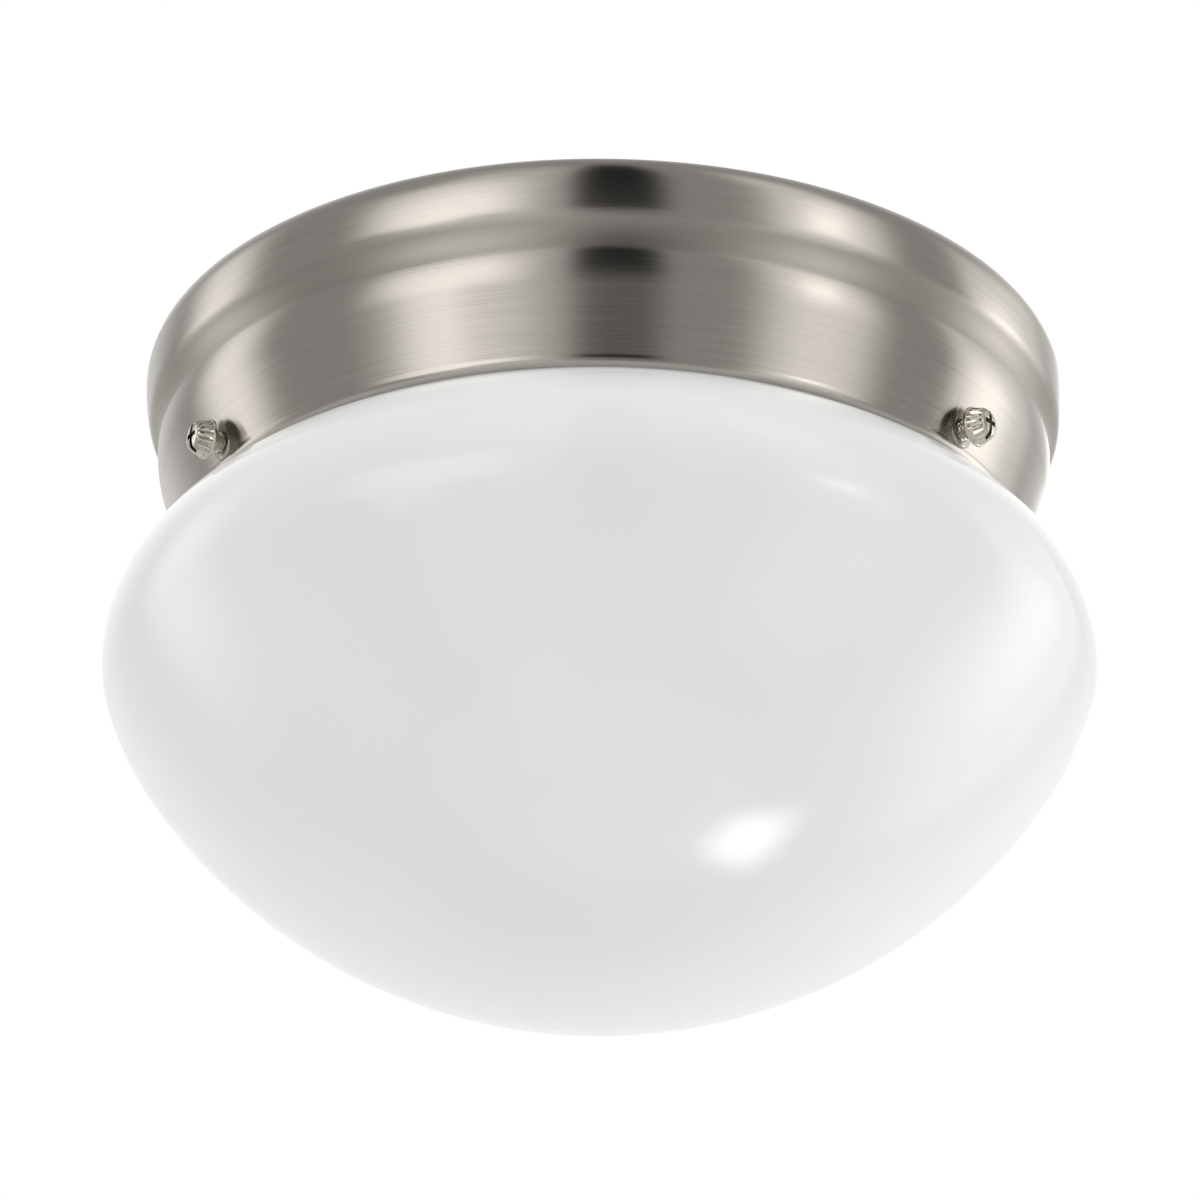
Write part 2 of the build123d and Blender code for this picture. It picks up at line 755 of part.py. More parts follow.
with BuildPart() as socket_bracket:
    with BuildSketch(Plane.XZ) as bracket_section:
        with BuildLine():
            Polyline(
                (bracket_foot_end_x, plate_bottom),
                (bracket_back_x, plate_bottom),
                (bracket_back_x, lamp_z - bracket_tail),
                (socket_back_x, lamp_z - bracket_tail),
                (socket_back_x, plate_bottom - bracket_sheet),
                (bracket_foot_end_x, plate_bottom - bracket_sheet),
                close=True,
            )
        make_face()
        outer_bend = Vector(bracket_back_x, plate_bottom)
        fillet(
            bracket_section.vertices().sort_by_distance(outer_bend)[0],
            bracket_bend + bracket_sheet,
        )
        inner_bend = Vector(socket_back_x, plate_bottom - bracket_sheet)
        fillet(bracket_section.vertices().sort_by_distance(inner_bend)[0], bracket_bend)
    extrude(amount=bracket_width / 2, both=True)
    with BuildSketch(Plane.XY.offset(plate_bottom)):
        with Locations(*[(x, 0) for x in rivet_positions]):
            Circle(rivet_radius + running_clearance)
    extrude(amount=-bracket_sheet, mode=Mode.SUBTRACT)
    with BuildSketch(facing_back(0, lamp_z)):
        Circle(screw_radius + running_clearance)
    extrude(amount=bracket_sheet, mode=Mode.SUBTRACT)
socket_bracket.part.label = "socket_bracket"
export_step(socket_bracket.part, "parts/socket_bracket.step")

with BuildPart() as bracket_rivets:
    for x in rivet_positions:
        with BuildSketch(Plane(origin=(x, 0, plate_bottom - bracket_sheet))):
            Circle(rivet_radius)
        extrude(amount=bracket_sheet + sheet)
        with BuildSketch(facing_down(x, 0, plate_bottom - bracket_sheet)):
            Circle(rivet_head_radius)
        extrude(amount=rivet_head_height, taper=screw_head_taper)
        with BuildSketch(Plane(origin=(x, 0, plate_top))):
            Circle(rivet_head_radius)
        extrude(amount=rivet_head_height, taper=screw_head_taper)
bracket_rivets.part.label = "bracket_rivets"
export_step(bracket_rivets.part, "parts/bracket_rivets.step")

with BuildPart() as socket_screw:
    seat = Plane(origin=(bracket_back_x, 0, lamp_z), x_dir=(0, 1, 0), z_dir=(-1, 0, 0))
    add_screw(
        seat,
        screw_radius,
        bracket_sheet + terminal_length,
        screw_head_radius,
        screw_head_height,
    )
socket_screw.part.label = "socket_screw"
export_step(socket_screw.part, "parts/socket_screw.step")
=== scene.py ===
"""Flush mount ceiling light: what a stepped metal pan, its opal glass and its lamp look like."""

from math import atan2, cos, degrees, pi, radians, sin, sqrt, tan

import bmesh
import bpy
import numpy as np
from mathutils import Matrix, Vector


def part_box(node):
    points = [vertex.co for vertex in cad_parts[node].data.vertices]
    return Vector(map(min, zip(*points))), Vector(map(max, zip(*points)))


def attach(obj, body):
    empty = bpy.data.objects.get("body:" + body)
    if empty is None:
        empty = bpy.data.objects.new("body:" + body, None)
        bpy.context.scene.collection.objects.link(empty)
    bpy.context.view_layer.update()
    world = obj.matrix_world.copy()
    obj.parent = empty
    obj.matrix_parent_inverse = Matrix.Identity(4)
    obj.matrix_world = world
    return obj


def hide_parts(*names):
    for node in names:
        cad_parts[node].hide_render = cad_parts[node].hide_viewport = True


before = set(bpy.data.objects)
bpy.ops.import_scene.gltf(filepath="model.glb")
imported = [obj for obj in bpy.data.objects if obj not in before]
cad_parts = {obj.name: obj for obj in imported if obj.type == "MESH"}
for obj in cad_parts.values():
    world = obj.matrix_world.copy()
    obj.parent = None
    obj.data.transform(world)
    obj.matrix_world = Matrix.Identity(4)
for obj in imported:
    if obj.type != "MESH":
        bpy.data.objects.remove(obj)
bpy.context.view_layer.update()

bl_info = {
    "name": "Flush Mount Ceiling Light",
    "version": (1, 0, 0),
    "blender": (4, 5, 0),
    "location": "View3D > Sidebar > Ceiling Light",
    "description": "Builds the looks of a flush mount ceiling light around its CAD frame",
    "category": "Object",
}

MM = 0.001
ROUND_STEPS = 256  # faces around the pan and the shade
SCREW_STEPS = 96  # faces around a small turned piece
SMALL_PITCH = 0.7 * MM  # thread of every small screw
SLOT_WIDTH, SLOT_DEPTH = 0.9 * MM, 1.1 * MM  # slots of the screws inside
DOUBLES = 1e-6  # points of a turned piece that are nearer than this are one
CUT_DOUBLES = 2e-7  # the same after a cut, whose slivers are finer
AZIMUTHS = {"left": -151.0, "right": -35.6, "rear": 86.7}  # of the thumbscrews, in degrees
DOWN = (pi, 0, 0)
BACKWARDS = (0, -pi / 2, 0)
ALONG_X = Matrix(((0, 0, 1, 0), (0, 1, 0, 0), (-1, 0, 0, 0), (0, 0, 0, 1)))


# ---------------------------------------------------------------- sizes and colours


def number(name, description, value, **more):
    return bpy.props.FloatProperty(name=name, description=description, default=value, **more)


def length(name, description, value):
    """A length property, given in millimetres."""
    return number(name, description, value * MM, unit="LENGTH", subtype="DISTANCE", precision=5)


def tilt(name, description, value):
    """An angle property, given in degrees."""
    return number(name, description, radians(value), unit="ROTATION", subtype="ANGLE")


def share(name, description, value):
    return number(name, description, value, subtype="FACTOR", min=0, max=1)


def colour(name, description, value):
    return bpy.props.FloatVectorProperty(
        name=name, description=description, default=value, subtype="COLOR", size=3, min=0, max=1
    )


class PanSettings(bpy.types.PropertyGroup):
    """Sizes and finish of the metal pan."""

    sheet: length("Sheet", "Thickness of the pan's sheet", 0.8)
    depth: length("Depth", "Height of the pan from the ceiling to its lip", 40.9)
    plate_radius: length("Plate radius", "Flat plate in the recess around the outlet box", 58.5)
    ring_width: length("Ring width", "Flat ring that lies on the ceiling", 19.05)
    recess: length("Recess", "Depth of the recess around the outlet box", 9.0)
    taper: tilt("Taper", "Lean of the wall under the beads", 17.5)
    nickel: colour("Nickel", "Satin nickel of the pan", (0.424, 0.401, 0.368))
    roughness: share("Roughness", "How far the brushing spreads a reflection", 0.22)
    brushing: share("Brushing", "How strongly the brushing shows", 0.5)


class ShadeSettings(bpy.types.PropertyGroup):
    """Sizes and finish of the glass shade."""

    radius: length("Radius", "Widest radius of the bowl", 95.25)
    wall: length("Wall", "Thickness of the glass", 3.0)
    overhang: length("Overhang", "How far the bowl stands out from its neck", 18.65)
    opal: colour("Opal", "Body colour of the opal glass", (0.885, 0.895, 0.905))
    gloss: share("Gloss", "Roughness of the glass's surface", 0.06)


class ThumbscrewSettings(bpy.types.PropertyGroup):
    """Sizes and finish of the three thumbscrews."""

    height: length("Height", "Distance of the screws' axes under the ceiling", 36.45)
    head_radius: length("Head radius", "Radius of the scalloped grip", 3.6)
    head_start: length("Head start", "Where the head starts, from the light's axis", 84.75)
    tip: length("Tip", "Where the screw's tip ends, from the light's axis", 76.9)
    scallops: bpy.props.IntProperty(
        name="Scallops", description="Number of scallops around the grip", default=16, min=4
    )
    nickel: colour("Nickel", "Bright nickel of the thumbscrews", (0.56, 0.53, 0.465))


class LampSettings(bpy.types.PropertyGroup):
    """Sizes and finish of the lamp and its socket."""

    height: length("Height", "Distance of the lamp's axis under the ceiling", 45.0)
    radius: length("Radius", "Radius of the lamp's bowl", 30.0)
    pitch: length("Pitch", "Pitch of the lamp's thread", 3.63)
    frost: colour("Frost", "Frosted glass of the lamp", (0.93, 0.93, 0.92))
    porcelain: colour("Porcelain", "Glaze of the socket's body", (0.90, 0.885, 0.84))
    brass: colour("Brass", "Brass of the sleeve and contact", (0.80, 0.60, 0.30))


class MountSettings(bpy.types.PropertyGroup):
    """Sizes and finish of the strap, the pad and the small parts."""

    screw_spacing: length("Screw spacing", "Distance between the canopy screws", 104.0)
    strap_edge: length("Strap edge", "Rounding of the strap's and bracket's edges", 0.25)
    zinc: colour("Zinc", "Zinc plate of the strap and bracket", (0.64, 0.65, 0.66))
    felt: colour("Felt", "Glass fibre felt of the pad", (0.84, 0.81, 0.72))
    nylon: colour("Nylon", "Nylon of the wire bushing", (0.022, 0.022, 0.024))
    ground: colour("Ground", "Finish of the ground screw", (0.035, 0.24, 0.075))


class StudioSettings(bpy.types.PropertyGroup):
    """Camera and light of the picture."""

    distance: length("Distance", "Distance from the camera to the light", 1300.0)
    aim: length("Aim", "Height of the point that the camera looks at", -55.0)
    rise: tilt("Rise", "How steeply the camera looks up", 26.09)
    roll: tilt("Roll", "Turn of the camera about its own axis", 0.6)
    lens: number("Lens", "Focal length on a 36 mm sensor", 203.49, unit="CAMERA")
    floor: length("Floor", "Height of the studio's floor", -2600.0)
    level: number("Level", "Brightness of the whole studio", 1.39, min=0)


SETTINGS = {
    "ceiling_light_pan": PanSettings,
    "ceiling_light_shade": ShadeSettings,
    "ceiling_light_thumbscrews": ThumbscrewSettings,
    "ceiling_light_lamp": LampSettings,
    "ceiling_light_mount": MountSettings,
    "ceiling_light_studio": StudioSettings,
}


def setting(group):
    """The settings of one group of pieces in this scene."""
    return getattr(bpy.context.scene, "ceiling_light_" + group)


# ---------------------------------------------------------------- sections drawn step by step

# A section is a chain of steps along the outside of a wall, each (size, first, last): the
# outward normal stands first degrees above the horizontal where the step starts and last
# degrees where it ends. Equal angles are a straight run, others an arc of that radius,
# negative where the wall is hollow.


def normal(angle):
    return np.array((cos(radians(angle)), sin(radians(angle))))


def step_end(start, size, first, last):
    """Where a step of a section ends."""
    if first == last:
        return start + size * np.array((sin(radians(first)), -cos(radians(first))))
    return start + size * (normal(last) - normal(first))


def chain_end(start, steps):
    start = np.array(start, float)
    for step in steps:
        start = step_end(start, *step)
    return start


def chain_points(start, steps, depth=0.0, fine=0.9):
    """Points along a chain, depth under its outside; arcs turn at most about fine mm a step."""
    start = np.array(start, float)
    points = []
    for size, first, last in steps:
        end = step_end(start, size, first, last)
        bend, arc = abs(last - first), abs(size * radians(last - first))
        count = max(3, int(np.ceil(bend / 6)), int(np.ceil(arc / (fine * MM)))) if bend else 1
        for i in range(count + 1):
            angle = first + (last - first) * i / count
            if bend:
                at = start + size * (normal(angle) - normal(first))
            else:
                at = start + (end - start) * i / count
            at = at - depth * normal(angle)
            if not points or np.linalg.norm(at - points[-1]) > 1e-7:
                points.append(at)
        start = end
    return points


def rounded(corners, radii, count=5):
    """A polyline whose inner corners are rounded, by one radius or one each, where they fit."""
    corners = [np.array(c, float) for c in corners]
    out = [corners[0]]
    for i in range(1, len(corners) - 1):
        here = corners[i]
        size = radii[i] if isinstance(radii, list) else radii
        before, after = corners[i - 1] - here, corners[i + 1] - here
        reach_before, reach_after = np.linalg.norm(before), np.linalg.norm(after)
        before, after = before / reach_before, after / reach_after
        half = np.arccos(np.clip(before @ after, -1, 1)) / 2
        if size <= 0 or half > radians(87):
            out.append(here)
            continue
        back = min(size / np.tan(half), 0.45 * reach_before, 0.45 * reach_after)
        size = back * np.tan(half)
        middle = here + (before + after) / np.linalg.norm(before + after) * size / np.sin(half)
        start = here + before * back - middle
        end = here + after * back - middle
        turn = atan2(start[0] * end[1] - start[1] * end[0], start @ end)
        for k in range(count + 1):
            c, s = cos(turn * k / count), sin(turn * k / count)
            out.append(middle + np.array((start[0] * c - start[1] * s, start[0] * s + start[1] * c)))
    out.append(corners[-1])
    return out


# ---------------------------------------------------------------- node tree helpers


class Field:
    """An output of a node. Sums, products and so on with it add math nodes to its tree."""

    def __init__(self, work, socket):
        self.work, self.socket = work, socket

    def __add__(self, other):
        return self.work.math("ADD", self, other)

    def __radd__(self, other):
        return self.work.math("ADD", other, self)

    def __sub__(self, other):
        return self.work.math("SUBTRACT", self, other)

    def __rsub__(self, other):
        return self.work.math("SUBTRACT", other, self)

    def __mul__(self, other):
        return self.work.math("MULTIPLY", self, other)

    def __truediv__(self, other):
        return self.work.math("DIVIDE", self, other)


class Tree:
    """A node tree being built: adds nodes, joins them and lays them out in columns."""

    def __init__(self, tree):
        self.tree, self.count = tree, 0

    def node(self, kind, inputs=(), **properties):
        """Add a node, set its properties, then feed its inputs, given by name or in order."""
        made = self.tree.nodes.new(kind)
        made.location = (190 * (self.count // 4), -170 * (self.count % 4))
        self.count += 1
        for key, value in properties.items():
            setattr(made, key, value)
        for key, value in inputs.items() if isinstance(inputs, dict) else enumerate(inputs):
            self.feed(made.inputs[key], value)
        return made

    def feed(self, socket, value):
        """Join a field to a socket, or set a plain value on it."""
        if isinstance(value, Field):
            self.tree.links.new(value.socket, socket)
        else:
            socket.default_value = (*value, 1.0) if socket.type == "RGBA" else value

    def field(self, kind, inputs=(), output=0, **properties):
        """Add a node and take one of its outputs."""
        return Field(self, self.node(kind, inputs, **properties).outputs[output])

    def fields(self, kind, inputs=(), **properties):
        """Add a node and take all its outputs."""
        return [Field(self, output) for output in self.node(kind, inputs, **properties).outputs]

    def math(self, operation, *values):
        return self.field("ShaderNodeMath", values, operation=operation)

    def vector(self, operation, inputs):
        return self.field("ShaderNodeVectorMath", inputs, operation=operation)

    def split(self, vector):
        return self.fields("ShaderNodeSeparateXYZ", [vector])

    def join(self, *parts):
        return self.field("ShaderNodeCombineXYZ", parts)

    def here(self):
        """Object coordinates."""
        return self.field("ShaderNodeTexCoord", output="Object")

    def ramp(self, value, low, high, start=0.0, end=1.0):
        """A value turned smoothly from start, where it is low, to end, where it is high."""
        return self.field(
            "ShaderNodeMapRange", (value, low, high, start, end), interpolation_type="SMOOTHSTEP"
        )

    def noise(self, vector, scale, detail, roughness):
        inputs = {"Vector": vector, "Scale": scale, "Detail": detail, "Roughness": roughness}
        return self.field("ShaderNodeTexNoise", inputs, "Fac")


FLOAT, INTEGER, VECTOR = "NodeSocketFloat", "NodeSocketInt", "NodeSocketVector"
GEOMETRY, PAINT = "NodeSocketGeometry", "NodeSocketMaterial"


def node_group(name, kind, inputs, outputs):
    """Turns a builder into a function that gives its node group, built at the first call.

    Inputs are (name, type, default) and outputs (name, type). The builder gets the tree and
    its inputs by name, and returns what feeds the outputs, in order."""

    def wrap(build):
        def group():
            tree = bpy.data.node_groups.get(name)
            if tree is None:
                tree = bpy.data.node_groups.new(name, kind)
                for label, socket_type, default in inputs:
                    made = tree.interface.new_socket(
                        name=label, in_out="INPUT", socket_type=socket_type
                    )
                    if default is not None:
                        made.default_value = default
                for label, socket_type in outputs:
                    tree.interface.new_socket(name=label, in_out="OUTPUT", socket_type=socket_type)
                work = Tree(tree)
                given = {item.socket.name: item for item in work.fields("NodeGroupInput")}
                work.node("NodeGroupOutput", build(work, given))
            return tree

        return group

    return wrap


# ---------------------------------------------------------------- geometry node trees


def painted(work, mesh, paint):
    """The end of a tree: real geometry in one material."""
    real = work.field("GeometryNodeRealizeInstances", [mesh])
    return [work.field("GeometryNodeSetMaterial", {"Geometry": real, "Material": paint})]


@node_group(
    "Turned Piece", "GeometryNodeTree",
    [("Outline", GEOMETRY, None), ("Segments", INTEGER, 128), ("Thread Pitch", FLOAT, 0.001),
     ("Thread Depth", FLOAT, 0.0), ("Thread Starts", INTEGER, 1), ("Scallops", INTEGER, 16),
     ("Scallop Depth", FLOAT, 0.0), ("Material", PAINT, None)],
    [("Mesh", GEOMETRY)],
)
def turned_tree(work, given):
    """Turns the object's own outline about Z, with a screw thread and scallops where asked."""
    outline = given["Outline"]
    rows = work.field(
        "GeometryNodeAttributeDomainSize", [outline], "Point Count", component="MESH"
    )
    across = given["Segments"] + 1.0
    grid = work.field("GeometryNodeMeshGrid", {"Vertices X": rows, "Vertices Y": across})
    index = work.field("GeometryNodeInputIndex")
    row = work.math("FLOOR", (index + 0.5) / across)
    turn = (index - row * across) / given["Segments"] * (2 * pi)

    def sample(kind, value):
        """What the outline holds at the point that a row of the grid stands for."""
        inputs = {"Geometry": outline, "Value": value, "Index": row}
        return work.field("GeometryNodeSampleIndex", inputs, data_type=kind)

    def weight(label):
        return sample("FLOAT", work.field(
            "GeometryNodeInputNamedAttribute", {"Name": label}, "Attribute", data_type="FLOAT"
        ))

    position = work.field("GeometryNodeInputPosition")
    radius, _, height = work.split(sample("FLOAT_VECTOR", position))
    phase = height / given["Thread Pitch"] * (2 * pi) - turn * given["Thread Starts"]
    swell = work.math("SINE", phase) * 0.5 * given["Thread Depth"] * weight("thread")
    around = work.math("COSINE", turn * given["Scallops"])
    hollow = work.math("MAXIMUM", around * 0.62 + 0.38, 0.0)
    radius = radius + swell - hollow * given["Scallop Depth"] * weight("scallop")
    at = work.join(radius * work.math("COSINE", turn), radius * work.math("SINE", turn), height)
    moved = work.field("GeometryNodeSetPosition", {"Geometry": grid, "Position": at})
    merged = work.field("GeometryNodeMergeByDistance", {"Geometry": moved, "Distance": DOUBLES})
    return painted(work, merged, given["Material"])


@node_group(
    "Placed Copies", "GeometryNodeTree",
    [("Piece", GEOMETRY, None), ("Count", INTEGER, 1), ("First", VECTOR, None),
     ("Step", VECTOR, None), ("Turn", "NodeSocketRotation", None), ("Material", PAINT, None)],
    [("Mesh", GEOMETRY)],
)
def copies_tree(work, given):
    """Places a row of copies of the object's own mesh, each turned the same way."""
    line = work.field(
        "GeometryNodeMeshLine",
        {"Count": given["Count"], "Start Location": given["First"], "Offset": given["Step"]},
        mode="OFFSET", count_mode="TOTAL",
    )
    row = work.field(
        "GeometryNodeInstanceOnPoints",
        {"Points": line, "Instance": given["Piece"], "Rotation": given["Turn"]},
    )
    return painted(work, row, given["Material"])


def linked(name, data):
    """A new object in the scene."""
    made = bpy.data.objects.new(name, data)
    bpy.context.scene.collection.objects.link(made)
    return made


def grown(mesh, tree, inputs):
    """The plain mesh that a tree makes of this mesh. Inputs go by the names of the sockets."""
    source = linked("growing", mesh)
    modifier = source.modifiers.new("tree", "NODES")
    modifier.node_group = tree
    for item in tree.interface.items_tree:
        if item.in_out == "INPUT" and item.name in inputs:
            modifier[item.identifier] = inputs[item.name]
    return evaluated(source)


def evaluated(source):
    """The plain mesh of an object with its modifiers applied; the object is removed."""
    depsgraph = bpy.context.evaluated_depsgraph_get()
    made = bpy.data.meshes.new_from_object(source.evaluated_get(depsgraph), depsgraph=depsgraph)
    old = source.data
    bpy.data.objects.remove(source)
    bpy.data.meshes.remove(old)
    return made


def outline_mesh(points):
    """A polyline of (radius, height, thread, scallop) points. The last two are weights from 0
    to 1 for how deep the thread and the scallops are there, and 0 where they are left out."""
    rows = np.array([(*point, 0.0, 0.0)[:4] for point in points])
    mesh = bpy.data.meshes.new("outline")
    edges = [(i, i + 1) for i in range(len(rows) - 1)]
    mesh.from_pydata([(radius, 0, height) for radius, height in rows[:, :2]], edges, [])
    for name, column in (("thread", 2), ("scallop", 3)):
        attribute = mesh.attributes.new(name, "FLOAT", "POINT")
        attribute.data.foreach_set("value", rows[:, column].astype(np.float32))
    return mesh


def turned(points, segments=SCREW_STEPS, pitch=MM, depth=0.0, starts=1, scallops=16, hollow=0.0):
    """A closed body of revolution about Z from an outline that runs from pole to pole or loops.

    A thread with no starts is a row of rings."""
    return cleaned(grown(outline_mesh(points), turned_tree(), {
        "Segments": segments, "Thread Pitch": pitch, "Thread Depth": depth,
        "Thread Starts": starts, "Scallops": scallops, "Scallop Depth": hollow,
    }))


def written(work, mesh):
    """Write an edited mesh back and let go of the edit."""
    work.to_mesh(mesh)
    work.free()
    return mesh


def cleaned(mesh, merge=DOUBLES):
    """Merge doubles, dissolve slivers and turn every face outwards."""
    work = bmesh.new()
    work.from_mesh(mesh)
    bmesh.ops.remove_doubles(work, verts=work.verts, dist=merge)
    bmesh.ops.dissolve_degenerate(work, edges=work.edges, dist=1e-7)
    bmesh.ops.recalc_face_normals(work, faces=work.faces)
    if work.calc_volume(signed=True) < 0:
        bmesh.ops.reverse_faces(work, faces=work.faces)
    return written(work, mesh)


def cylinder(radius, low, high, segments):
    """A plain cylinder about Z, used as a cutter."""
    work = bmesh.new()
    bmesh.ops.create_cone(
        work, cap_ends=True, segments=segments, radius1=radius, radius2=radius, depth=high - low,
        matrix=Matrix.Translation((0, 0, (low + high) / 2)),
    )
    return written(work, bpy.data.meshes.new("cylinder"))


def block(low, high):
    """A plain box between two corners."""
    work = bmesh.new()
    bmesh.ops.create_cube(work, size=1.0)
    for vertex in work.verts:
        vertex.co = [low[i] + (vertex.co[i] + 0.5) * (high[i] - low[i]) for i in range(3)]
    return written(work, bpy.data.meshes.new("block"))


def moved(mesh, matrix):
    mesh.transform(matrix)
    return mesh


def combined(mesh, others, operation):
    """The mesh with each of the others cut out of it or joined to it."""
    body = linked("body", mesh)
    tools = [linked("tool", other) for other in others]
    for tool in tools:
        modifier = body.modifiers.new("boolean", "BOOLEAN")
        modifier.operation, modifier.solver, modifier.object = operation, "EXACT", tool
    made = evaluated(body)
    for tool in tools:
        data = tool.data
        bpy.data.objects.remove(tool)
        bpy.data.meshes.remove(data)
    return made


def smooth(mesh, angle=30):
    mesh.shade_smooth()
    mesh.set_sharp_from_angle(angle=radians(angle))
    return mesh


def read(items, key, width=1, kind=np.float32):
    """A value of every item of a mesh as an array with width columns."""
    values = np.zeros(len(items) * width, kind)
    items.foreach_get(key, values)
    return values.reshape(-1, width).astype(float) if width > 1 else values


def smooth_by_outline(mesh, points, angle=30):
    """Smooth a turned mesh with the true normals of its outline, however a cut has split it."""
    smooth(mesh, angle)
    outline = np.array(points)
    start, step = outline[:-1], np.diff(outline, axis=0)
    size = np.linalg.norm(step, axis=1)
    keep = size > 1e-9
    start, step, size = start[keep], step[keep], size[keep]
    side = np.stack((-step[:, 1], step[:, 0]), 1) / size[:, None]
    corner = read(mesh.corner_normals, "vector", 3)
    index = read(mesh.loops, "vertex_index", 1, np.int32)
    spots = read(mesh.vertices, "co", 3)
    radius = np.hypot(spots[:, 0], spots[:, 1])
    flat = np.stack((radius, spots[:, 2]), 1)
    best = np.full(len(spots), np.inf)
    found = np.zeros((len(spots), 2))

    def beside(i, here):
        """The neighbour's normal where the outline runs on smoothly, else this step's own."""
        inside = 0 <= i < len(side)
        return side[i] if inside and abs(side[i] @ here) > cos(radians(20)) else here

    for i, here in enumerate(side):
        along = np.clip(((flat - start[i]) @ step[i]) / size[i] ** 2, 0, 1)[:, None]
        gap = np.linalg.norm(flat - start[i] - along * step[i], axis=1)
        near = gap < best - 1e-9
        first, last = beside(i - 1, here) + here, beside(i + 1, here) + here
        blend = first / np.linalg.norm(first) * (1 - along) + last / np.linalg.norm(last) * along
        found[near] = blend[near]
        best[near] = gap[near]
    found /= np.linalg.norm(found, axis=1)[:, None]
    safe, pole = np.maximum(radius, 1e-9), radius < 1e-6
    x, y = found[:, 0] * spots[:, 0] / safe, found[:, 0] * spots[:, 1] / safe
    true = np.stack((x, y, found[:, 1]), 1)
    true[pole] = 0
    true[pole, 2] = np.sign(found[pole, 1])
    true = true[index]
    match = (true * corner).sum(1)
    true[match < 0] *= -1
    # a cut's own faces lie off the outline or turn away from it, and keep their normals
    use = (abs(match) > cos(radians(9))) & (best[index] < 3e-6)
    corner[use] = true[use]
    mesh.normals_split_custom_set([tuple(n) for n in corner])
    return mesh


def place(name, mesh, body, slot, nodes, material):
    """Show a finished mesh: it rides a body, stands for CAD nodes and takes the given finish."""
    mesh.name = name
    mesh.materials.clear()
    mesh.materials.append(material)
    piece = linked(name, mesh)
    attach(piece, body)
    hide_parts(*nodes)


def on_lamp_axis(mesh):
    """Lay a piece turned about Z along the lamp's axis, its heights becoming X."""
    return moved(mesh, Matrix.Translation((0, 0, -setting("lamp").height)) @ ALONG_X)


def along_lamp(points, segments, **thread):
    """An outline of (radius, X) points turned about the lamp's axis."""
    return smooth(on_lamp_axis(turned(points, segments, **thread)), 40)


def placed(mesh, paint, first, turn=(0, 0, 0), count=1, step=(0, 0, 0), angle=30):
    """Copies of a finished piece at a place, turned by Euler angles, as one plain mesh."""
    made = grown(mesh, copies_tree(), {
        "Count": count, "First": tuple(first), "Step": step, "Turn": tuple(turn),
        "Material": paint,
    })
    return smooth(cleaned(made, CUT_DOUBLES), angle)


def softened(node, width):
    """A copy of a CAD node with merged faces and rounded edges."""
    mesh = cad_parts[node].data.copy()
    mesh.materials.clear()
    work = bmesh.new()
    work.from_mesh(mesh)
    bmesh.ops.remove_doubles(work, verts=work.verts, dist=2e-6)
    bmesh.ops.dissolve_limit(
        work, angle_limit=radians(0.6), use_dissolve_boundaries=False, verts=work.verts,
        edges=work.edges,
    )
    body = linked("softening", written(work, mesh))
    bevel = body.modifiers.new("bevel", "BEVEL")
    bevel.width, bevel.segments, bevel.use_clamp_overlap = width, 3, True
    bevel.limit_method, bevel.angle_limit = "ANGLE", radians(35)
    return smooth(cleaned(evaluated(body), CUT_DOUBLES), 12)


# ---------------------------------------------------------------- shader node groups


@node_group(
    "Turned Brushing", "ShaderNodeTree", [("Strength", FLOAT, 0.5), ("Fineness", FLOAT, 5200.0)],
    [("Streak", FLOAT), ("Specks", FLOAT), ("Normal", VECTOR)],
)
def brushing_group(work, given):
    """Fine brushing around Z with specks: a streak value, a speck mask and a normal."""
    here = work.here()
    x, y, z = work.split(here)
    radius = work.math("SQRT", x * x + y * y)
    fine = given["Fineness"]

    def streaks(around, factor):
        inputs = {"Vector": work.join(x * around, y * around, z * fine * factor),
                  "W": radius * fine * (factor * 0.8), "Scale": 1.0, "Detail": 1.5}
        return work.field("ShaderNodeTexNoise", inputs, "Fac", noise_dimensions="4D")

    streak = (streaks(55.0, 1.0) * 0.6 + streaks(25.0, 0.22) * 0.4 - 0.5) * 2.0

    def specks(scale, stretch, size, kept):
        """A mask of dots in a share of the cells of a pattern, flattened along Z by stretch."""
        shape = work.vector("MULTIPLY", (here, (scale, scale, scale * stretch)))
        distance, tint = work.fields("ShaderNodeTexVoronoi", {"Vector": shape, "Scale": 1.0})[:2]
        chosen = work.math("GREATER_THAN", work.field("ShaderNodeSeparateColor", [tint]), 1 - kept)
        return work.ramp(distance, size * 0.6, size, 1.0, 0.0) * chosen

    dots = work.math("MAXIMUM", specks(210.0, 1.0, 0.028, 0.16), specks(90.0, 14.0, 0.035, 0.05))
    bump = work.field("ShaderNodeBump", {
        "Distance": 0.00002, "Strength": given["Strength"], "Height": streak - dots})
    return streak, dots, bump


@node_group(
    "Handling", "ShaderNodeTree", [("Scale", FLOAT, 60.0)], [("Smudge", FLOAT), ("Grain", FLOAT)]
)
def wear_group(work, given):
    """Handling marks and a fine grain."""
    here, scale = work.here(), given["Scale"]
    return work.noise(here, scale, 3.0, 0.55), work.noise(here, scale * 40.0, 1.0, 0.5)


# ---------------------------------------------------------------- materials


def material(name, **values):
    """A new material on a Principled shader; values go by its sockets, spaces as underscores."""
    made = bpy.data.materials.new(name)
    made.use_nodes = True
    work, shader = Tree(made.node_tree), made.node_tree.nodes["Principled BSDF"]

    def finish(**values):
        for key, value in values.items():
            work.feed(shader.inputs[key.replace("_", " ")], value)
        return made

    finish(**values)
    return work, finish


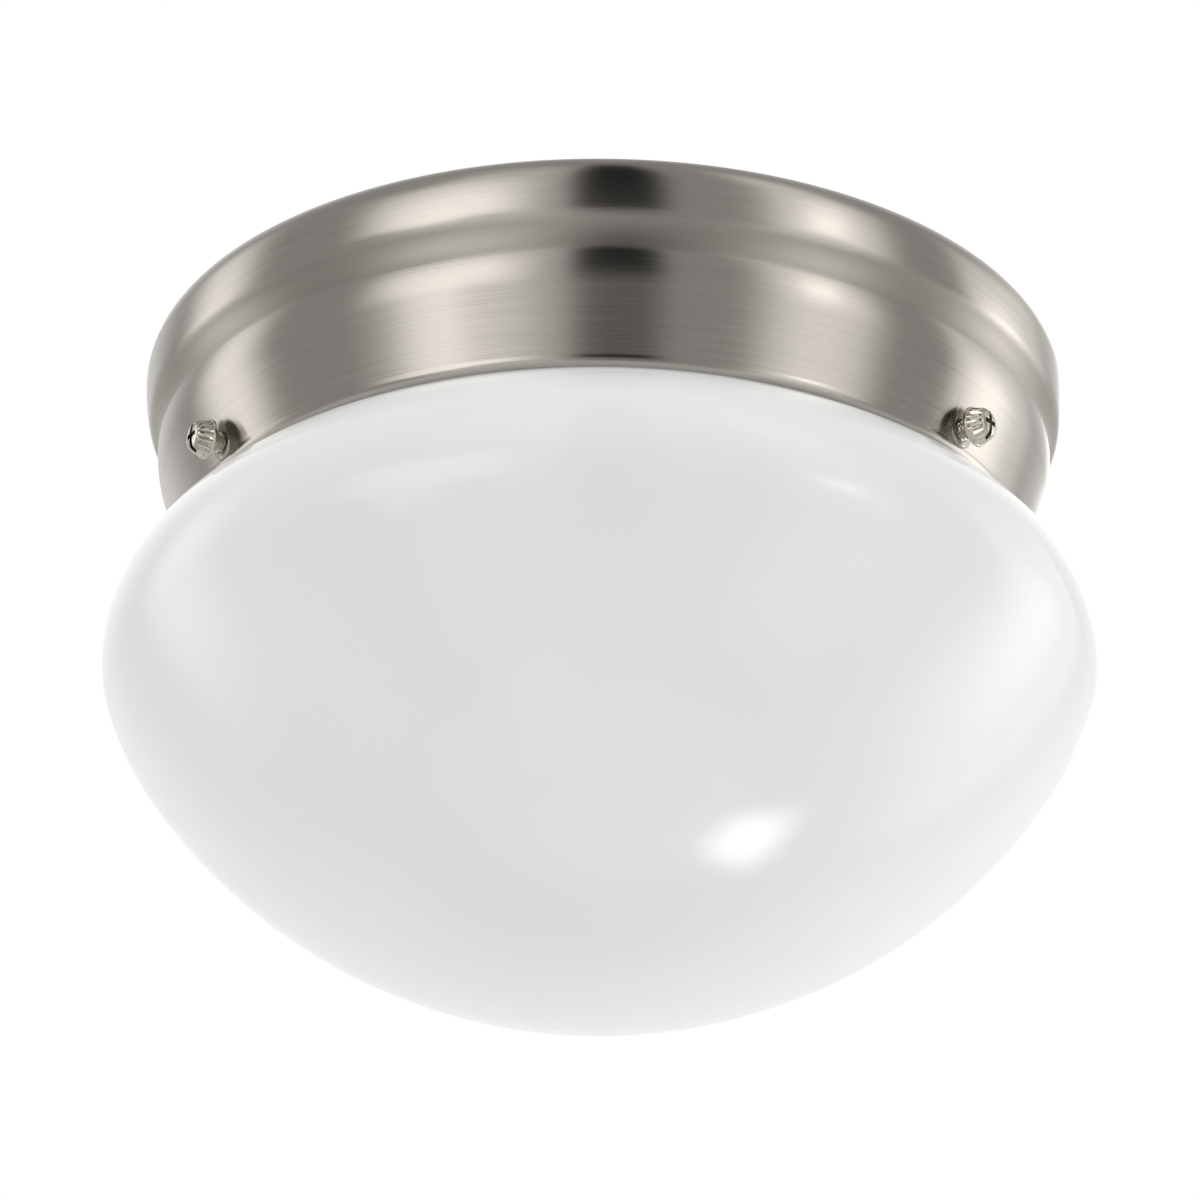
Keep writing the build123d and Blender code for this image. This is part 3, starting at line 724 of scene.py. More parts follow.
def turned_metal(name, tint, roughness, brushing, low, high):
    """Metal brushed around the light's axis, with a few specks, duller between two heights."""
    work, finish = material(
        name, Metallic=1.0, Roughness=roughness, Anisotropic=0.9, Anisotropic_Rotation=0.25
    )
    streak, specks, bump = work.fields(
        "ShaderNodeGroup", {"Strength": brushing, "Fineness": 5200.0}, node_tree=brushing_group()
    )
    streak_tone, speck_tone, streak_spread, dull_spread = 0.28 * brushing, 0.25, 0.05, 0.24
    tone = 1.0 + streak * streak_tone + specks * speck_tone
    z = work.split(work.here())[2]
    dull = work.ramp(z, low - MM, low + MM) * work.ramp(z, high + MM, high - MM)
    return finish(
        Base_Color=work.vector("SCALE", {"Vector": tint, "Scale": tone}),
        Roughness=roughness + streak * streak_spread + dull * dull_spread, Normal=bump,
        Tangent=work.field("ShaderNodeTangent", direction_type="RADIAL", axis="Z"),
    )


def plain(name, tint, roughness, metallic, scale, depth, grain=0.0, **more):
    """A procedural finish with faint smudges in its colour and roughness, and maybe a grain."""
    work, finish = material(name, Metallic=metallic, Roughness=roughness, **more)
    smudge, height = work.fields("ShaderNodeGroup", {"Scale": scale}, node_tree=wear_group())
    tone = work.ramp(smudge, 0.3, 0.7, 1 - depth, 1 + depth)
    if grain:
        finish(Normal=work.field(
            "ShaderNodeBump", {"Distance": grain, "Strength": 0.5, "Height": height}))
    return finish(
        Base_Color=work.vector("SCALE", {"Vector": tuple(tint), "Scale": tone}),
        Roughness=work.ramp(smudge, 0.3, 0.7, roughness * 0.9, min(1.0, roughness * 1.15)),
    )


# ---------------------------------------------------------------- pan


def pan_chain():
    """Steps along the outside of the pan, from the middle of its plate to the lip."""
    sizes = setting("pan")
    bend, lean_in = 2 * MM, radians(75)
    run = (sizes.recess - 2 * bend * (1 - cos(lean_in))) / sin(lean_in)
    recess = [(-bend, 90, 165), (run, 165, 165), (bend, 165, 90)]
    lean = -degrees(sizes.taper)
    beads = [
        (6 * MM, 90, 0),  # corner under the ceiling
        (32 * MM, 0, -11), (4.7 * MM, -11, -41),  # upper bead
        (-5.4 * MM, -41, 14),  # hollow between the beads
        (4.4 * MM, 14, 0), (21.2 * MM, 0, lean),  # lower bead
    ]
    lip = [(-2.4 * MM, lean, -3), (1.5 * MM, -3, -85)]
    top = [(sizes.plate_radius, 90, 90)] + recess + [(sizes.ring_width, 90, 90)] + beads
    fall = sizes.depth + chain_end((0, -sizes.recess), top)[1] + chain_end((0, 0), lip)[1]
    return top + [(fall / cos(sizes.taper), lean, lean)] + lip


def wall_radius(height):
    """Outside radius of the pan's taper at a height."""
    foot = chain_end((0, -setting("pan").recess), pan_chain()[:-2])
    return foot[0] + (height - foot[1]) * tan(setting("pan").taper)


def radial(azimuth, distance, height):
    """Matrix that lays a piece's Z along a radius of the light, at a distance and height."""
    c, s = cos(radians(azimuth)), sin(radians(azimuth))
    return Matrix((
        (-s, 0, c, distance * c), (c, 0, s, distance * s), (0, 1, 0, height), (0, 0, 0, 1)
    ))


class CEILINGLIGHT_OT_pan(bpy.types.Operator):
    """Build the metal pan with its holes and the threaded collars inside its wall"""

    bl_idname = "ceiling_light.pan"
    bl_label = "Pan"

    def execute(self, context):
        sizes, screws = setting("pan"), setting("thumbscrews")
        start, plate = (0, -sizes.recess), -sizes.recess
        outside = chain_points(start, pan_chain())
        inside = chain_points(start, pan_chain(), sizes.sheet)
        lip_edge = outside[-1] * 0.5 + inside[-1] * 0.5
        points = outside + [lip_edge] + inside[::-1]

        collar_radius, collar_depth = 3.3 * MM, 2.6 * MM
        set_in = 2.74 * MM  # from the wall's outside to the collar's inner end
        collar = rounded(
            [(0, 0), (collar_radius, 0), (collar_radius, collar_depth), (0, collar_depth)], 0.35 * MM
        )
        collars, holes = [], []
        for azimuth in AZIMUTHS.values():
            at = radial(azimuth, wall_radius(-screws.height) - set_in, -screws.height)
            collars.append(moved(turned(collar, 48), at))
            holes.append(moved(cylinder(2.05 * MM, -1 * MM, 7 * MM, 48), at))
        half = setting("mount").screw_spacing / 2
        for x, y, radius in (
            (0, -half, 2.4 * MM), (0, half, 2.4 * MM),  # canopy screws
            (-22 * MM, 0, 6.35 * MM),  # wire bushing
            (-51 * MM, 0, 1.65 * MM), (-42 * MM, 0, 1.65 * MM),  # bracket's rivets
        ):
            drill = cylinder(radius, plate - 2 * MM, plate + MM, 64)
            holes.append(moved(drill, Matrix.Translation((x, y, 0))))
        body = combined(turned(points, ROUND_STEPS), collars, "UNION")
        body = combined(body, holes, "DIFFERENCE")
        smooth_by_outline(cleaned(body, CUT_DOUBLES), points)
        groove = (-19.5 * MM, -13.5 * MM)  # heights of the hollow between the beads
        nickel = turned_metal(
            "pan nickel", tuple(sizes.nickel), sizes.roughness, sizes.brushing, *groove
        )
        place("pan", body, "canopy", "pan_nickel", ["canopy_pan"], nickel)
        return {"FINISHED"}


# ---------------------------------------------------------------- shade


def shade_chain(neck):
    """Steps along the outside of the shade, from the foot of its neck to the bowl's pole."""
    sizes = setting("shade")
    shoulder_end, belly, flank, haunch = 25.5 * MM, 20 * MM, 56 * MM, 35
    start = [(-2 * MM, 0, 60), (3.9 * MM, 60, 60)]
    above = shoulder_end * (1 - cos(radians(30)))
    spread = sizes.radius - chain_end((neck, 0), start)[0] - above
    shoulder = spread / (cos(radians(30)) - cos(radians(60)))
    below = belly * (1 - cos(radians(20))) + flank * (cos(radians(20)) - cos(radians(haunch)))
    crown = (sizes.radius - below) / cos(radians(haunch))
    return start + [
        (shoulder, 60, 30), (shoulder_end, 30, 0), (belly, 0, -20), (flank, -20, -haunch),
        (crown, -haunch, -90),
    ]


class CEILINGLIGHT_OT_shade(bpy.types.Operator):
    """Build the blown glass shade with its neck and the bead that it hangs by"""

    bl_idname = "ceiling_light.shade"
    bl_label = "Shade"

    def execute(self, context):
        sizes, screws = setting("shade"), setting("thumbscrews")
        neck = sizes.radius - sizes.overhang
        bead, soft = neck + 2.3 * MM, 1.2 * MM
        foot, bottom = -screws.height - 1.65 * MM, -screws.height + 2.3 * MM
        top = bottom + 3.6 * MM
        outside = chain_points((neck, foot), shade_chain(neck), fine=1.1)
        inside = chain_points((neck, foot), shade_chain(neck), sizes.wall, fine=1.1)
        outside[-1][0] = inside[-1][0] = 0
        rim = rounded(
            [outside[0], (neck, bottom), (bead, bottom), (bead, top), (neck - sizes.wall, top),
             inside[0]],
            [0, 0, soft, soft, soft, 0], 8,
        )
        points = outside[::-1] + rim[1:-1] + inside
        body = smooth_by_outline(turned(points, ROUND_STEPS), points, angle=50)

        work, finish = material(
            "opal glass", Roughness=sizes.gloss, IOR=1.5, Base_Color=tuple(sizes.opal),
            Emission_Color=(1.0, 1.0, 1.0),
        )
        here = work.here()
        z = work.split(here)[2]
        tone = work.ramp(work.noise(here, 18.0, 2.0, 0.4), 0.3, 0.7, 0.99, 1.01)
        # painted glow: an emission that paints light into the opal wall in place of light scattered
        # inside it, weak down the bowl, most beside the neck that the pan shades, and nearly none
        # inside the pan
        painted_glow = work.ramp(z, -0.075, -0.041, 0.02, 0.20) * work.ramp(z, -0.0365, -0.0385, 0.1, 1.0)
        opal = finish(
            Base_Color=work.vector("SCALE", {"Vector": tuple(sizes.opal), "Scale": tone}),
            Emission_Strength=painted_glow,
        )
        place("shade_glass", body, "shade", "opal_glass", ["glass_shade"], opal)
        return {"FINISHED"}


# ---------------------------------------------------------------- thumbscrews


def slotted(mesh, front, depth, width, reach, cross=0.0):
    """Cut a slot, and a short one across it, into a head whose front faces +Z."""
    cuts = [(width / 2, reach)] + ([(cross / 2, width / 2)] if cross else [])
    tools = [block((-x, -y, front - depth), (x, y, front + MM)) for x, y in cuts]
    return combined(mesh, tools, "DIFFERENCE")


def threaded(radius, low, high, steps, fade_in, fade_out):
    """Points along a thread, whose depth grows and ends over some steps at its two ends."""
    return [
        (radius, low + (high - low) * i / steps, min(1.0, i / fade_in, (steps - i) / fade_out))
        for i in range(steps + 1)
    ]


class CEILINGLIGHT_OT_thumbscrews(bpy.types.Operator):
    """Build the three thumbscrews with their threads, flanges, scalloped grips and slots"""

    bl_idname = "ceiling_light.thumbscrews"
    bl_label = "Thumbscrews"

    def execute(self, context):
        sizes = setting("thumbscrews")
        head, grip, narrow = sizes.head_start - sizes.tip, sizes.head_radius, 0.5 * MM
        root, mean, flange_radius = 1.65 * MM, 1.825 * MM, 3.85 * MM
        flange, grip_end = head + 0.6 * MM, head + 2.9 * MM
        grip_start, tall = flange + 0.02 * MM, (grip_end - flange) * 0.85
        front = grip_end + 0.8 * MM

        points = [(0, 0), (root - 0.3 * MM, 0)]
        steps = int((head - 1.0 * MM) / (SMALL_PITCH / 10))
        points += threaded(mean, 0.6 * MM, head - 0.3 * MM, steps, 6, 6)
        points += rounded(
            [(mean, head - 0.2 * MM), (root, head), (flange_radius, head), (flange_radius, flange),
             (grip, grip_start)],
            [0, 0, 0.12 * MM, 0.12 * MM, 0], 4,
        )[1:]
        sides = [(grip - narrow * k / 4, grip_start + tall * k / 4) for k in range(1, 5)]
        points += [(*side, 0, 1) for side in sides]
        dome = rounded(
            [sides[-1], (2.55 * MM, front - 0.25 * MM), (1.2 * MM, front), (0, front)],
            [0, 0.9 * MM, 0.8 * MM, 0], 8,
        )[1:-1]
        points += [(r, z, 0, min(max((r - 2.4 * MM) / (0.6 * MM), 0), 1)) for r, z in dome]
        points.append((0, front))

        nickel = plain("thumbscrew nickel", sizes.nickel, 0.11, 1.0, 300.0, 0.05)
        for side, azimuth in AZIMUTHS.items():
            body = turned(
                points, 160, SMALL_PITCH, 0.35 * MM, scallops=sizes.scallops, hollow=0.42 * MM
            )
            body = slotted(body, front, 1.4 * MM, 0.95 * MM, 5 * MM, 3.2 * MM)
            at = radial(azimuth, sizes.tip, -sizes.height)
            body = placed(body, nickel, at.translation, at.to_euler(), angle=28)
            name = "thumbscrew_" + side
            place("screw_" + side, body, name, "thumbscrew_nickel", [name], nickel)
        return {"FINISHED"}


# ---------------------------------------------------------------- mount


def screw(seat, radius=2.0 * MM, head_radius=3.8 * MM, head_height=2.2 * MM, soft=0.9 * MM):
    """A slotted machine screw with its seat at z = 0, its head above and its thread below."""
    depth = 0.28 * MM
    mean = radius - depth / 2
    steps = max(12, int(seat / (SMALL_PITCH / 10)))
    points = [(0, -seat), (mean - 0.25 * MM, -seat)]
    points += threaded(mean, -seat, -0.05 * MM, steps, 5, 4)[1:]
    top_radius = head_radius - head_height * tan(radians(18))
    points += rounded(
        [(mean, 0), (head_radius, 0), (top_radius, head_height), (0, head_height)],
        [0, 0.15 * MM, soft, 0], 6,
    )
    body = turned(points, 72, SMALL_PITCH, depth)
    return slotted(body, head_height, SLOT_DEPTH, SLOT_WIDTH, head_radius + MM)


class CEILINGLIGHT_OT_mount(bpy.types.Operator):
    """Build the strap, the pad, the wire bushing and the screws that hold the pan up"""

    bl_idname = "ceiling_light.mount"
    bl_label = "Mount"

    def execute(self, context):
        sizes = setting("mount")
        zinc = plain("zinc plate", sizes.zinc, 0.34, 1.0, 90.0, 0.06, 0.00001)
        steel = plain("screw nickel", (0.66, 0.645, 0.62), 0.24, 1.0, 200.0, 0.05)
        green = plain("ground green", sizes.ground, 0.32, 0.0, 200.0, 0.06)
        felt = plain("pad felt", sizes.felt, 0.95, 0.0, 70.0, 0.10, 0.0003)
        nylon = plain("bushing nylon", sizes.nylon, 0.42, 0.0, 100.0, 0.05)

        body = softened("mounting_strap", sizes.strap_edge)
        place("strap", body, "canopy", "strap_zinc", ["mounting_strap"], zinc)
        body = softened("insulation_pad", 0.5 * MM)
        place("pad", body, "canopy", "pad_fibre", ["insulation_pad"], felt)

        seat = -setting("pan").recess - setting("pan").sheet
        gap = sizes.screw_spacing
        pair = placed(screw(-seat), steel, (0, -gap / 2, seat), DOWN, 2, (0, gap, 0))
        place("pan_screws", pair, "canopy", "screw_nickel", ["canopy_screws"], steel)

        low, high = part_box("ground_screw")
        middle, thick = (low + high) / 2, 2.0 * MM
        body = placed(screw(thick, soft=0.7 * MM), green, (middle.x, middle.y, -thick), DOWN)
        place("ground_screw_finish", body, "canopy", "ground_green", ["ground_screw"], green)

        low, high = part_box("wire_bushing")
        middle, tall = (low + high) / 2, high.z - low.z
        flange, bore, hole, snap = 8.2 * MM, 4.4 * MM, 6.3 * MM, 6.9 * MM
        ring = rounded(
            [(bore, 0.4 * tall), (bore, 0), (flange, 0), (flange, 1.2 * MM), (hole, 1.2 * MM),
             (hole, 2.0 * MM), (snap, 2.0 * MM), (snap - 0.39 * MM, tall), (bore, tall),
             (bore, 0.6 * tall)],
            [0, 0.5 * MM, 0.5 * MM, 0.2 * MM, 0, 0, 0.1 * MM, 0.3 * MM, 0.5 * MM, 0], 5,
        )
        slits = []  # between the four snap fingers
        for k in range(4):
            slit = block((-0.5 * MM, bore - 0.6 * MM, 2.3 * MM), (0.5 * MM, 9 * MM, tall + MM))
            slits.append(moved(slit, Matrix.Rotation(pi / 4 + k * pi / 2, 4, "Z")))
        body = combined(turned(ring + [ring[0]], 96), slits, "DIFFERENCE")
        body = placed(body, nylon, (middle.x, middle.y, low.z))
        place("bushing", body, "canopy", "bushing_plastic", ["wire_bushing"], nylon)
        return {"FINISHED"}


# ---------------------------------------------------------------- socket


class CEILINGLIGHT_OT_socket(bpy.types.Operator):
    """Build the bracket, its rivets and the porcelain socket with its sleeve and screws"""

    bl_idname = "ceiling_light.socket"
    bl_label = "Socket"

    def execute(self, context):
        sizes, mount = setting("lamp"), setting("mount")
        zinc = plain("bracket zinc", mount.zinc, 0.34, 1.0, 90.0, 0.06, 0.00001)
        steel = plain("rivet nickel", (0.66, 0.645, 0.62), 0.26, 1.0, 200.0, 0.05)
        glaze = plain("porcelain glaze", sizes.porcelain, 0.12, 0.0, 50.0, 0.02)
        brass = plain("sleeve brass", sizes.brass, 0.24, 1.0, 120.0, 0.06)
        silver = plain("terminal nickel", (0.70, 0.69, 0.67), 0.22, 1.0, 200.0, 0.05)

        body = softened("socket_bracket", mount.strap_edge * 0.8)
        place("bracket", body, "canopy", "strap_zinc", ["socket_bracket"], zinc)

        low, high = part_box("bracket_rivets")
        wide, face, stem, head = 3.0 * MM, 2.64 * MM, 1.6 * MM, 1.1 * MM
        tall, reach = high.z - low.z, (high.x - low.x) / 2 - wide
        outline = rounded(
            [(0, 0), (face, 0), (wide, head), (stem, head), (stem, tall - head),
             (wide, tall - head), (face, tall), (0, tall)],
            [0, 0.8 * MM, 0.1 * MM, 0, 0, 0.1 * MM, 0.8 * MM, 0], 6,
        )
        first = ((low.x + high.x) / 2 - reach, 0, low.z)
        pair = placed(turned(outline, 64), steel, first, count=2, step=(2 * reach, 0, 0))
        place("rivets", pair, "canopy", "screw_nickel", ["bracket_rivets"], steel)

        low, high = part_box("socket_body")
        back, mouth, rim_start = low.x, high.x, high.x - 6 * MM
        rim, shell, cavity, floor = 20.2 * MM, 19.0 * MM, 13.8 * MM, low.x + 10.4 * MM
        outline = rounded(
            [(0, back), (shell, back), (shell, rim_start), (rim, rim_start), (rim, mouth),
             (cavity, mouth), (cavity, floor), (0, floor)],
            [0, 1.5 * MM, 0.5 * MM, 0.6 * MM, 0.9 * MM, 0.5 * MM, 0.6 * MM, 0], 6,
        )
        drills = []
        for y, radius in ((-12.5 * MM, 1.65 * MM), (12.5 * MM, 1.65 * MM), (0, 2.05 * MM)):
            at = Matrix.Translation((back, y, -sizes.height)) @ ALONG_X
            drills.append(moved(cylinder(radius, -MM, 5 * MM, 40), at))
        body = combined(on_lamp_axis(turned(outline, 160)), drills, "DIFFERENCE")
        body = smooth(cleaned(body, CUT_DOUBLES), 35)
        place("socket_porcelain", body, "canopy", "porcelain", ["socket_body"], glaze)

        low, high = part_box("socket_sleeve")
        mean, thick, hole = 12.9 * MM, 0.4 * MM, 9.0 * MM
        wave = threaded(mean, high.x - 4 * sizes.pitch, high.x, 64, 6.4, 6.4)
        points = [(hole, low.x + thick), (mean, low.x + thick)] + wave
        points += [(r + thick, x, thread) for r, x, thread in wave[::-1]]
        points += [(mean + thick, low.x), (hole, low.x), (hole, low.x + thick)]
        body = along_lamp(points, 144, pitch=sizes.pitch, depth=0.8 * MM, starts=0)
        place("sleeve", body, "canopy", "sleeve_brass", ["socket_sleeve"], brass)

        low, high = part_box("socket_contact")
        outline = rounded(
            [(0, low.x), (5 * MM, low.x), (5 * MM, high.x), (2.6 * MM, high.x),
             (2.2 * MM, high.x), (0, high.x)],
            [0, 0.15 * MM, 0.2 * MM, 0, 0, 0], 4,
        )
        body = along_lamp(outline, 64)
        place("centre_contact", body, "canopy", "sleeve_brass", ["socket_contact"], brass)

        for name, paint, slot in (
            ("hot", brass, "terminal_brass"), ("neutral", silver, "terminal_nickel")
        ):
            low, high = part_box(name + "_terminal_screw")
            middle, head = (low + high) / 2, 1.8 * MM
            body = screw(5 * MM, 1.6 * MM, 3.2 * MM, head, 0.7 * MM)
            body = placed(body, paint, (low.x + head, middle.y, middle.z), BACKWARDS)
            place(name + "_terminal", body, "canopy", slot, [name + "_terminal_screw"], paint)

        low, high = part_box("socket_screw")
        seat = low.x + 2.2 * MM
        body = placed(screw(high.x - seat), steel, (seat, 0, (low.z + high.z) / 2), BACKWARDS)
        place("bracket_screw", body, "canopy", "screw_nickel", ["socket_screw"], steel)
        return {"FINISHED"}


# ---------------------------------------------------------------- lamp


def lamp_envelope(foot, tip, neck, bowl, run, count=40):
    """Outline of the lamp's glass from its foot to its tip: straight neck, hollow waist, bowl."""
    centre, hub = tip - bowl, foot + run
    waist = ((centre - hub) ** 2 / (bowl - neck) - bowl - neck) / 2
    rise, out = centre - hub, neck + waist

    def arc(across, along, radius, first, last):
        turns = [first + (last - first) * i / count for i in range(1, count + 1)]
        return [(across + radius * cos(a), along + radius * sin(a)) for a in turns]

    points = [(neck, foot), (neck, hub)] + arc(out, hub, waist, pi, atan2(rise, -out))
    points += arc(0, centre, bowl, atan2(-rise, out), pi / 2)
    return points[:-1] + [(0, tip)]


def tube(path, radius, sides=8):
    """A closed round tube along points in space, with a frame carried along without twist."""
    path = [Vector(p) for p in path]
    turns = [2 * pi * k / sides for k in range(sides)]
    rings, faces = [], []
    side = (path[1] - path[0]).normalized().orthogonal().normalized()
    for i, here in enumerate(path):
        if i + 1 < len(path):
            ahead = (path[i + 1] - path[max(i - 1, 0)]).normalized()
        side = (side - ahead * side.dot(ahead)).normalized()
        other = ahead.cross(side)
        rings += [here + (side * cos(a) + other * sin(a)) * radius for a in turns]
    for i in range(len(path) - 1):
        for k in range(sides):
            a, b = i * sides + k, i * sides + (k + 1) % sides
            faces.append((a, b, b + sides, a + sides))
    last = (len(path) - 1) * sides
    faces += [tuple(range(sides))[::-1], tuple(range(last, last + sides))]
    mesh = bpy.data.meshes.new("tube")
    mesh.from_pydata(rings, [], faces)
    return mesh


class CEILINGLIGHT_OT_lamp(bpy.types.Operator):
    """Build the lamp: its frosted glass, its threaded cap and what is inside"""

    bl_idname = "ceiling_light.lamp"
    bl_label = "Lamp"

    def execute(self, context):
        sizes = setting("lamp")
        frost = plain("lamp frost", sizes.frost, 0.38, 0.0, 40.0, 0.01)
        cap = plain("cap metal", (0.72, 0.71, 0.69), 0.28, 1.0, 150.0, 0.06)
        black = plain("cap insulator", (0.02, 0.02, 0.024), 0.12, 0.0, 150.0, 0.05)
        solder = plain("solder", (0.55, 0.55, 0.54), 0.42, 1.0, 300.0, 0.12, 0.00003)
        clear = plain(
            "stem glass", (0.8, 0.84, 0.84), 0.05, 0.0, 40.0, 0.01, Transmission_Weight=0.9
        )
        wire = plain("filament wire", (0.24, 0.235, 0.23), 0.45, 1.0, 300.0, 0.05)

        low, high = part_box("lamp_glass")
        neck, wall, run = 12.5 * MM, 0.7 * MM, 6.35 * MM
        outer = lamp_envelope(low.x, high.x, neck, sizes.radius, run)
        inner = lamp_envelope(low.x, high.x - wall, neck - wall, sizes.radius - wall, run)
        points = outer[::-1] + inner
        body = on_lamp_axis(smooth_by_outline(turned(points, 128), points, angle=50))
        place("lamp_bulb", body, "lamp", "lamp_frost", ["lamp_glass"], frost)

        low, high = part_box("lamp_contact")
        reach, crown, back = 4.5 * MM, 13.5 * MM, low.x + 0.9 * MM
        points = [(0, low.x)]
        for across in (reach * k / 6 for k in range(1, 7)):
            points.append((across, low.x + crown - sqrt(crown ** 2 - across ** 2)))
        body = along_lamp(points + [(reach, back), (0, back)], 64)
        place("cap_contact", body, "lamp", "lamp_solder", ["lamp_contact"], solder)

        low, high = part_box("lamp_insulator")
        wide = 10.7 * MM
        outline = rounded(
            [(0, low.x), (reach, low.x), (wide, low.x + 3.3 * MM), (wide, high.x), (0, high.x)],
            [0, 0.2 * MM, 0.6 * MM, 0.1 * MM, 0], 5,
        )
        body = along_lamp(outline, 96)
        place("cap_insulator", body, "lamp", "lamp_black", ["lamp_insulator"], black)

        low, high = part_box("lamp_cap")
        mean, thick, collar, start = 12.75 * MM, 0.3 * MM, 13.0 * MM, low.x + 1.4 * MM
        wave = threaded(mean, start, start + 4 * sizes.pitch, 80, 8, 8)
        neck_end = [wave[-1][:2], (collar, high.x - 5.7 * MM), (collar, high.x)]
        outer = [(mean - 1.5 * MM, low.x, 0)] + wave
        outer += [(r, x, 0) for r, x in rounded(neck_end, [0, 1.2 * MM, 0], 5)[1:]]
        inner = [(r - thick, x, thread) for r, x, thread in outer[::-1]]
        body = along_lamp(
            outer + inner + [outer[0]], 144, pitch=sizes.pitch, depth=0.8 * MM, starts=0
        )
        place("cap_shell", body, "lamp", "lamp_cap_metal", ["lamp_cap"], cap)

        low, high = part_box("lamp_stem")
        rod, flare = 3.0 * MM, 11.6 * MM
        outline = rounded(
            [(0, low.x), (flare, low.x), (flare, low.x + 0.7 * MM), (rod, low.x + 12 * MM),
             (rod, high.x), (0, high.x)],
            [0, 0.2 * MM, 0.3 * MM, 8 * MM, 0.9 * MM, 0], 8,
        )
        place("stem", along_lamp(outline, 64), "lamp", "lamp_clear", ["lamp_stem"], clear)

        low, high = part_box("lamp_filament")
        foot, tip, height = low.x + 0.2 * MM, high.x - 0.42 * MM, (low.z + high.z) / 2
        half, bow, coil_radius, turns = 11 * MM, 3 * MM, 0.28 * MM, 46
        post, steps = tip - bow, 46 * 8
        body = bmesh.new()
        for side in (-1, 1):
            path = [(foot, side * 1.6 * MM, height), ((foot + post) / 2, side * 6.2 * MM, height),
                    (post, side * half, height)]
            body.from_mesh(tube(path, 0.3 * MM))
        swing = (half ** 2 + bow ** 2) / (2 * bow)
        spread = np.arcsin(half / swing)
        coil = []
        for i in range(steps + 1):
            along, phase = -spread + 2 * spread * i / steps, 2 * pi * turns * i / steps
            out = swing + coil_radius * cos(phase)
            coil.append((
                tip - swing + out * cos(along), out * sin(along), height + coil_radius * sin(phase)
            ))
        body.from_mesh(tube(coil, 0.09 * MM, 5))
        body = smooth(cleaned(written(body, bpy.data.meshes.new("wires")), 1e-8), 60)
        place("filament", body, "lamp", "filament_wire", ["lamp_filament"], wire)
        return {"FINISHED"}


# ---------------------------------------------------------------- studio


def studio_light(work, level):
    """Brightness of the studio seen in a direction: soft boxes and panels around the light."""
    direction = work.field("ShaderNodeTexCoord", output="Generated")
    x, y, z = work.split(work.vector("NORMALIZE", [direction]))
    azimuth = work.math("ARCTAN2", x, y * -1.0) * (180 / pi)
    height = work.math("ARCSINE", z) * (180 / pi)

    def panel(middle, half, soft, low, high, fade):
        """1 inside a panel: azimuth middle and half width, heights low to high, soft edges."""
        off = work.math("ABSOLUTE", work.math("WRAP", azimuth - middle, 180.0, -180.0))
        above, tall = work.math("ABSOLUTE", height - (low + high) / 2), (high - low) / 2
        return work.ramp(off, half + soft, half - soft) * work.ramp(above, tall + fade, tall - fade)

    total = work.ramp(height, -74.0, -56.0, 0.75, 0.34)
    # (middle, half width, soft edge, lowest, highest, fade, brightness)
    for *shape, bright in (
        (-29, 18, 10, -76, 66, 10, 0.33),
        (-43, 8, 6, -13, 1, 4, 0.75),
        (-40, 18, 9, 1, 26, 5, 1.05),
        (-107, 11, 9, -22, 34, 14, 0.95),
        (54, 15, 9, -50, 66, 12, 0.53),
        (56, 13, 8, 1, 26, 5, 0.36),
        (54, 5, 4, 12, 21, 4, 1.5),
        (114, 19, 4, -38, 36, 10, 0.50),
        (111, 9, 8, -22, 16, 14, 1.15),
        (131, 11, 8, -65, -54, 5, 4.6),
        (180, 42, 16, -40, 58, 14, 0.34),
        (167, 9, 6, 16, 34, 6, 0.9),
    ):
        total = total + panel(*shape) * bright
    # the dark gap between the two window panels, deeper above the horizon
    for *shape, depth in ((4, 9, 6, -34, 78, 8, 0.34), (2.8, 10.8, 4, -1, 78, 5, 0.96)):
        total = total * (1.0 - panel(*shape) * depth)
    return total * level


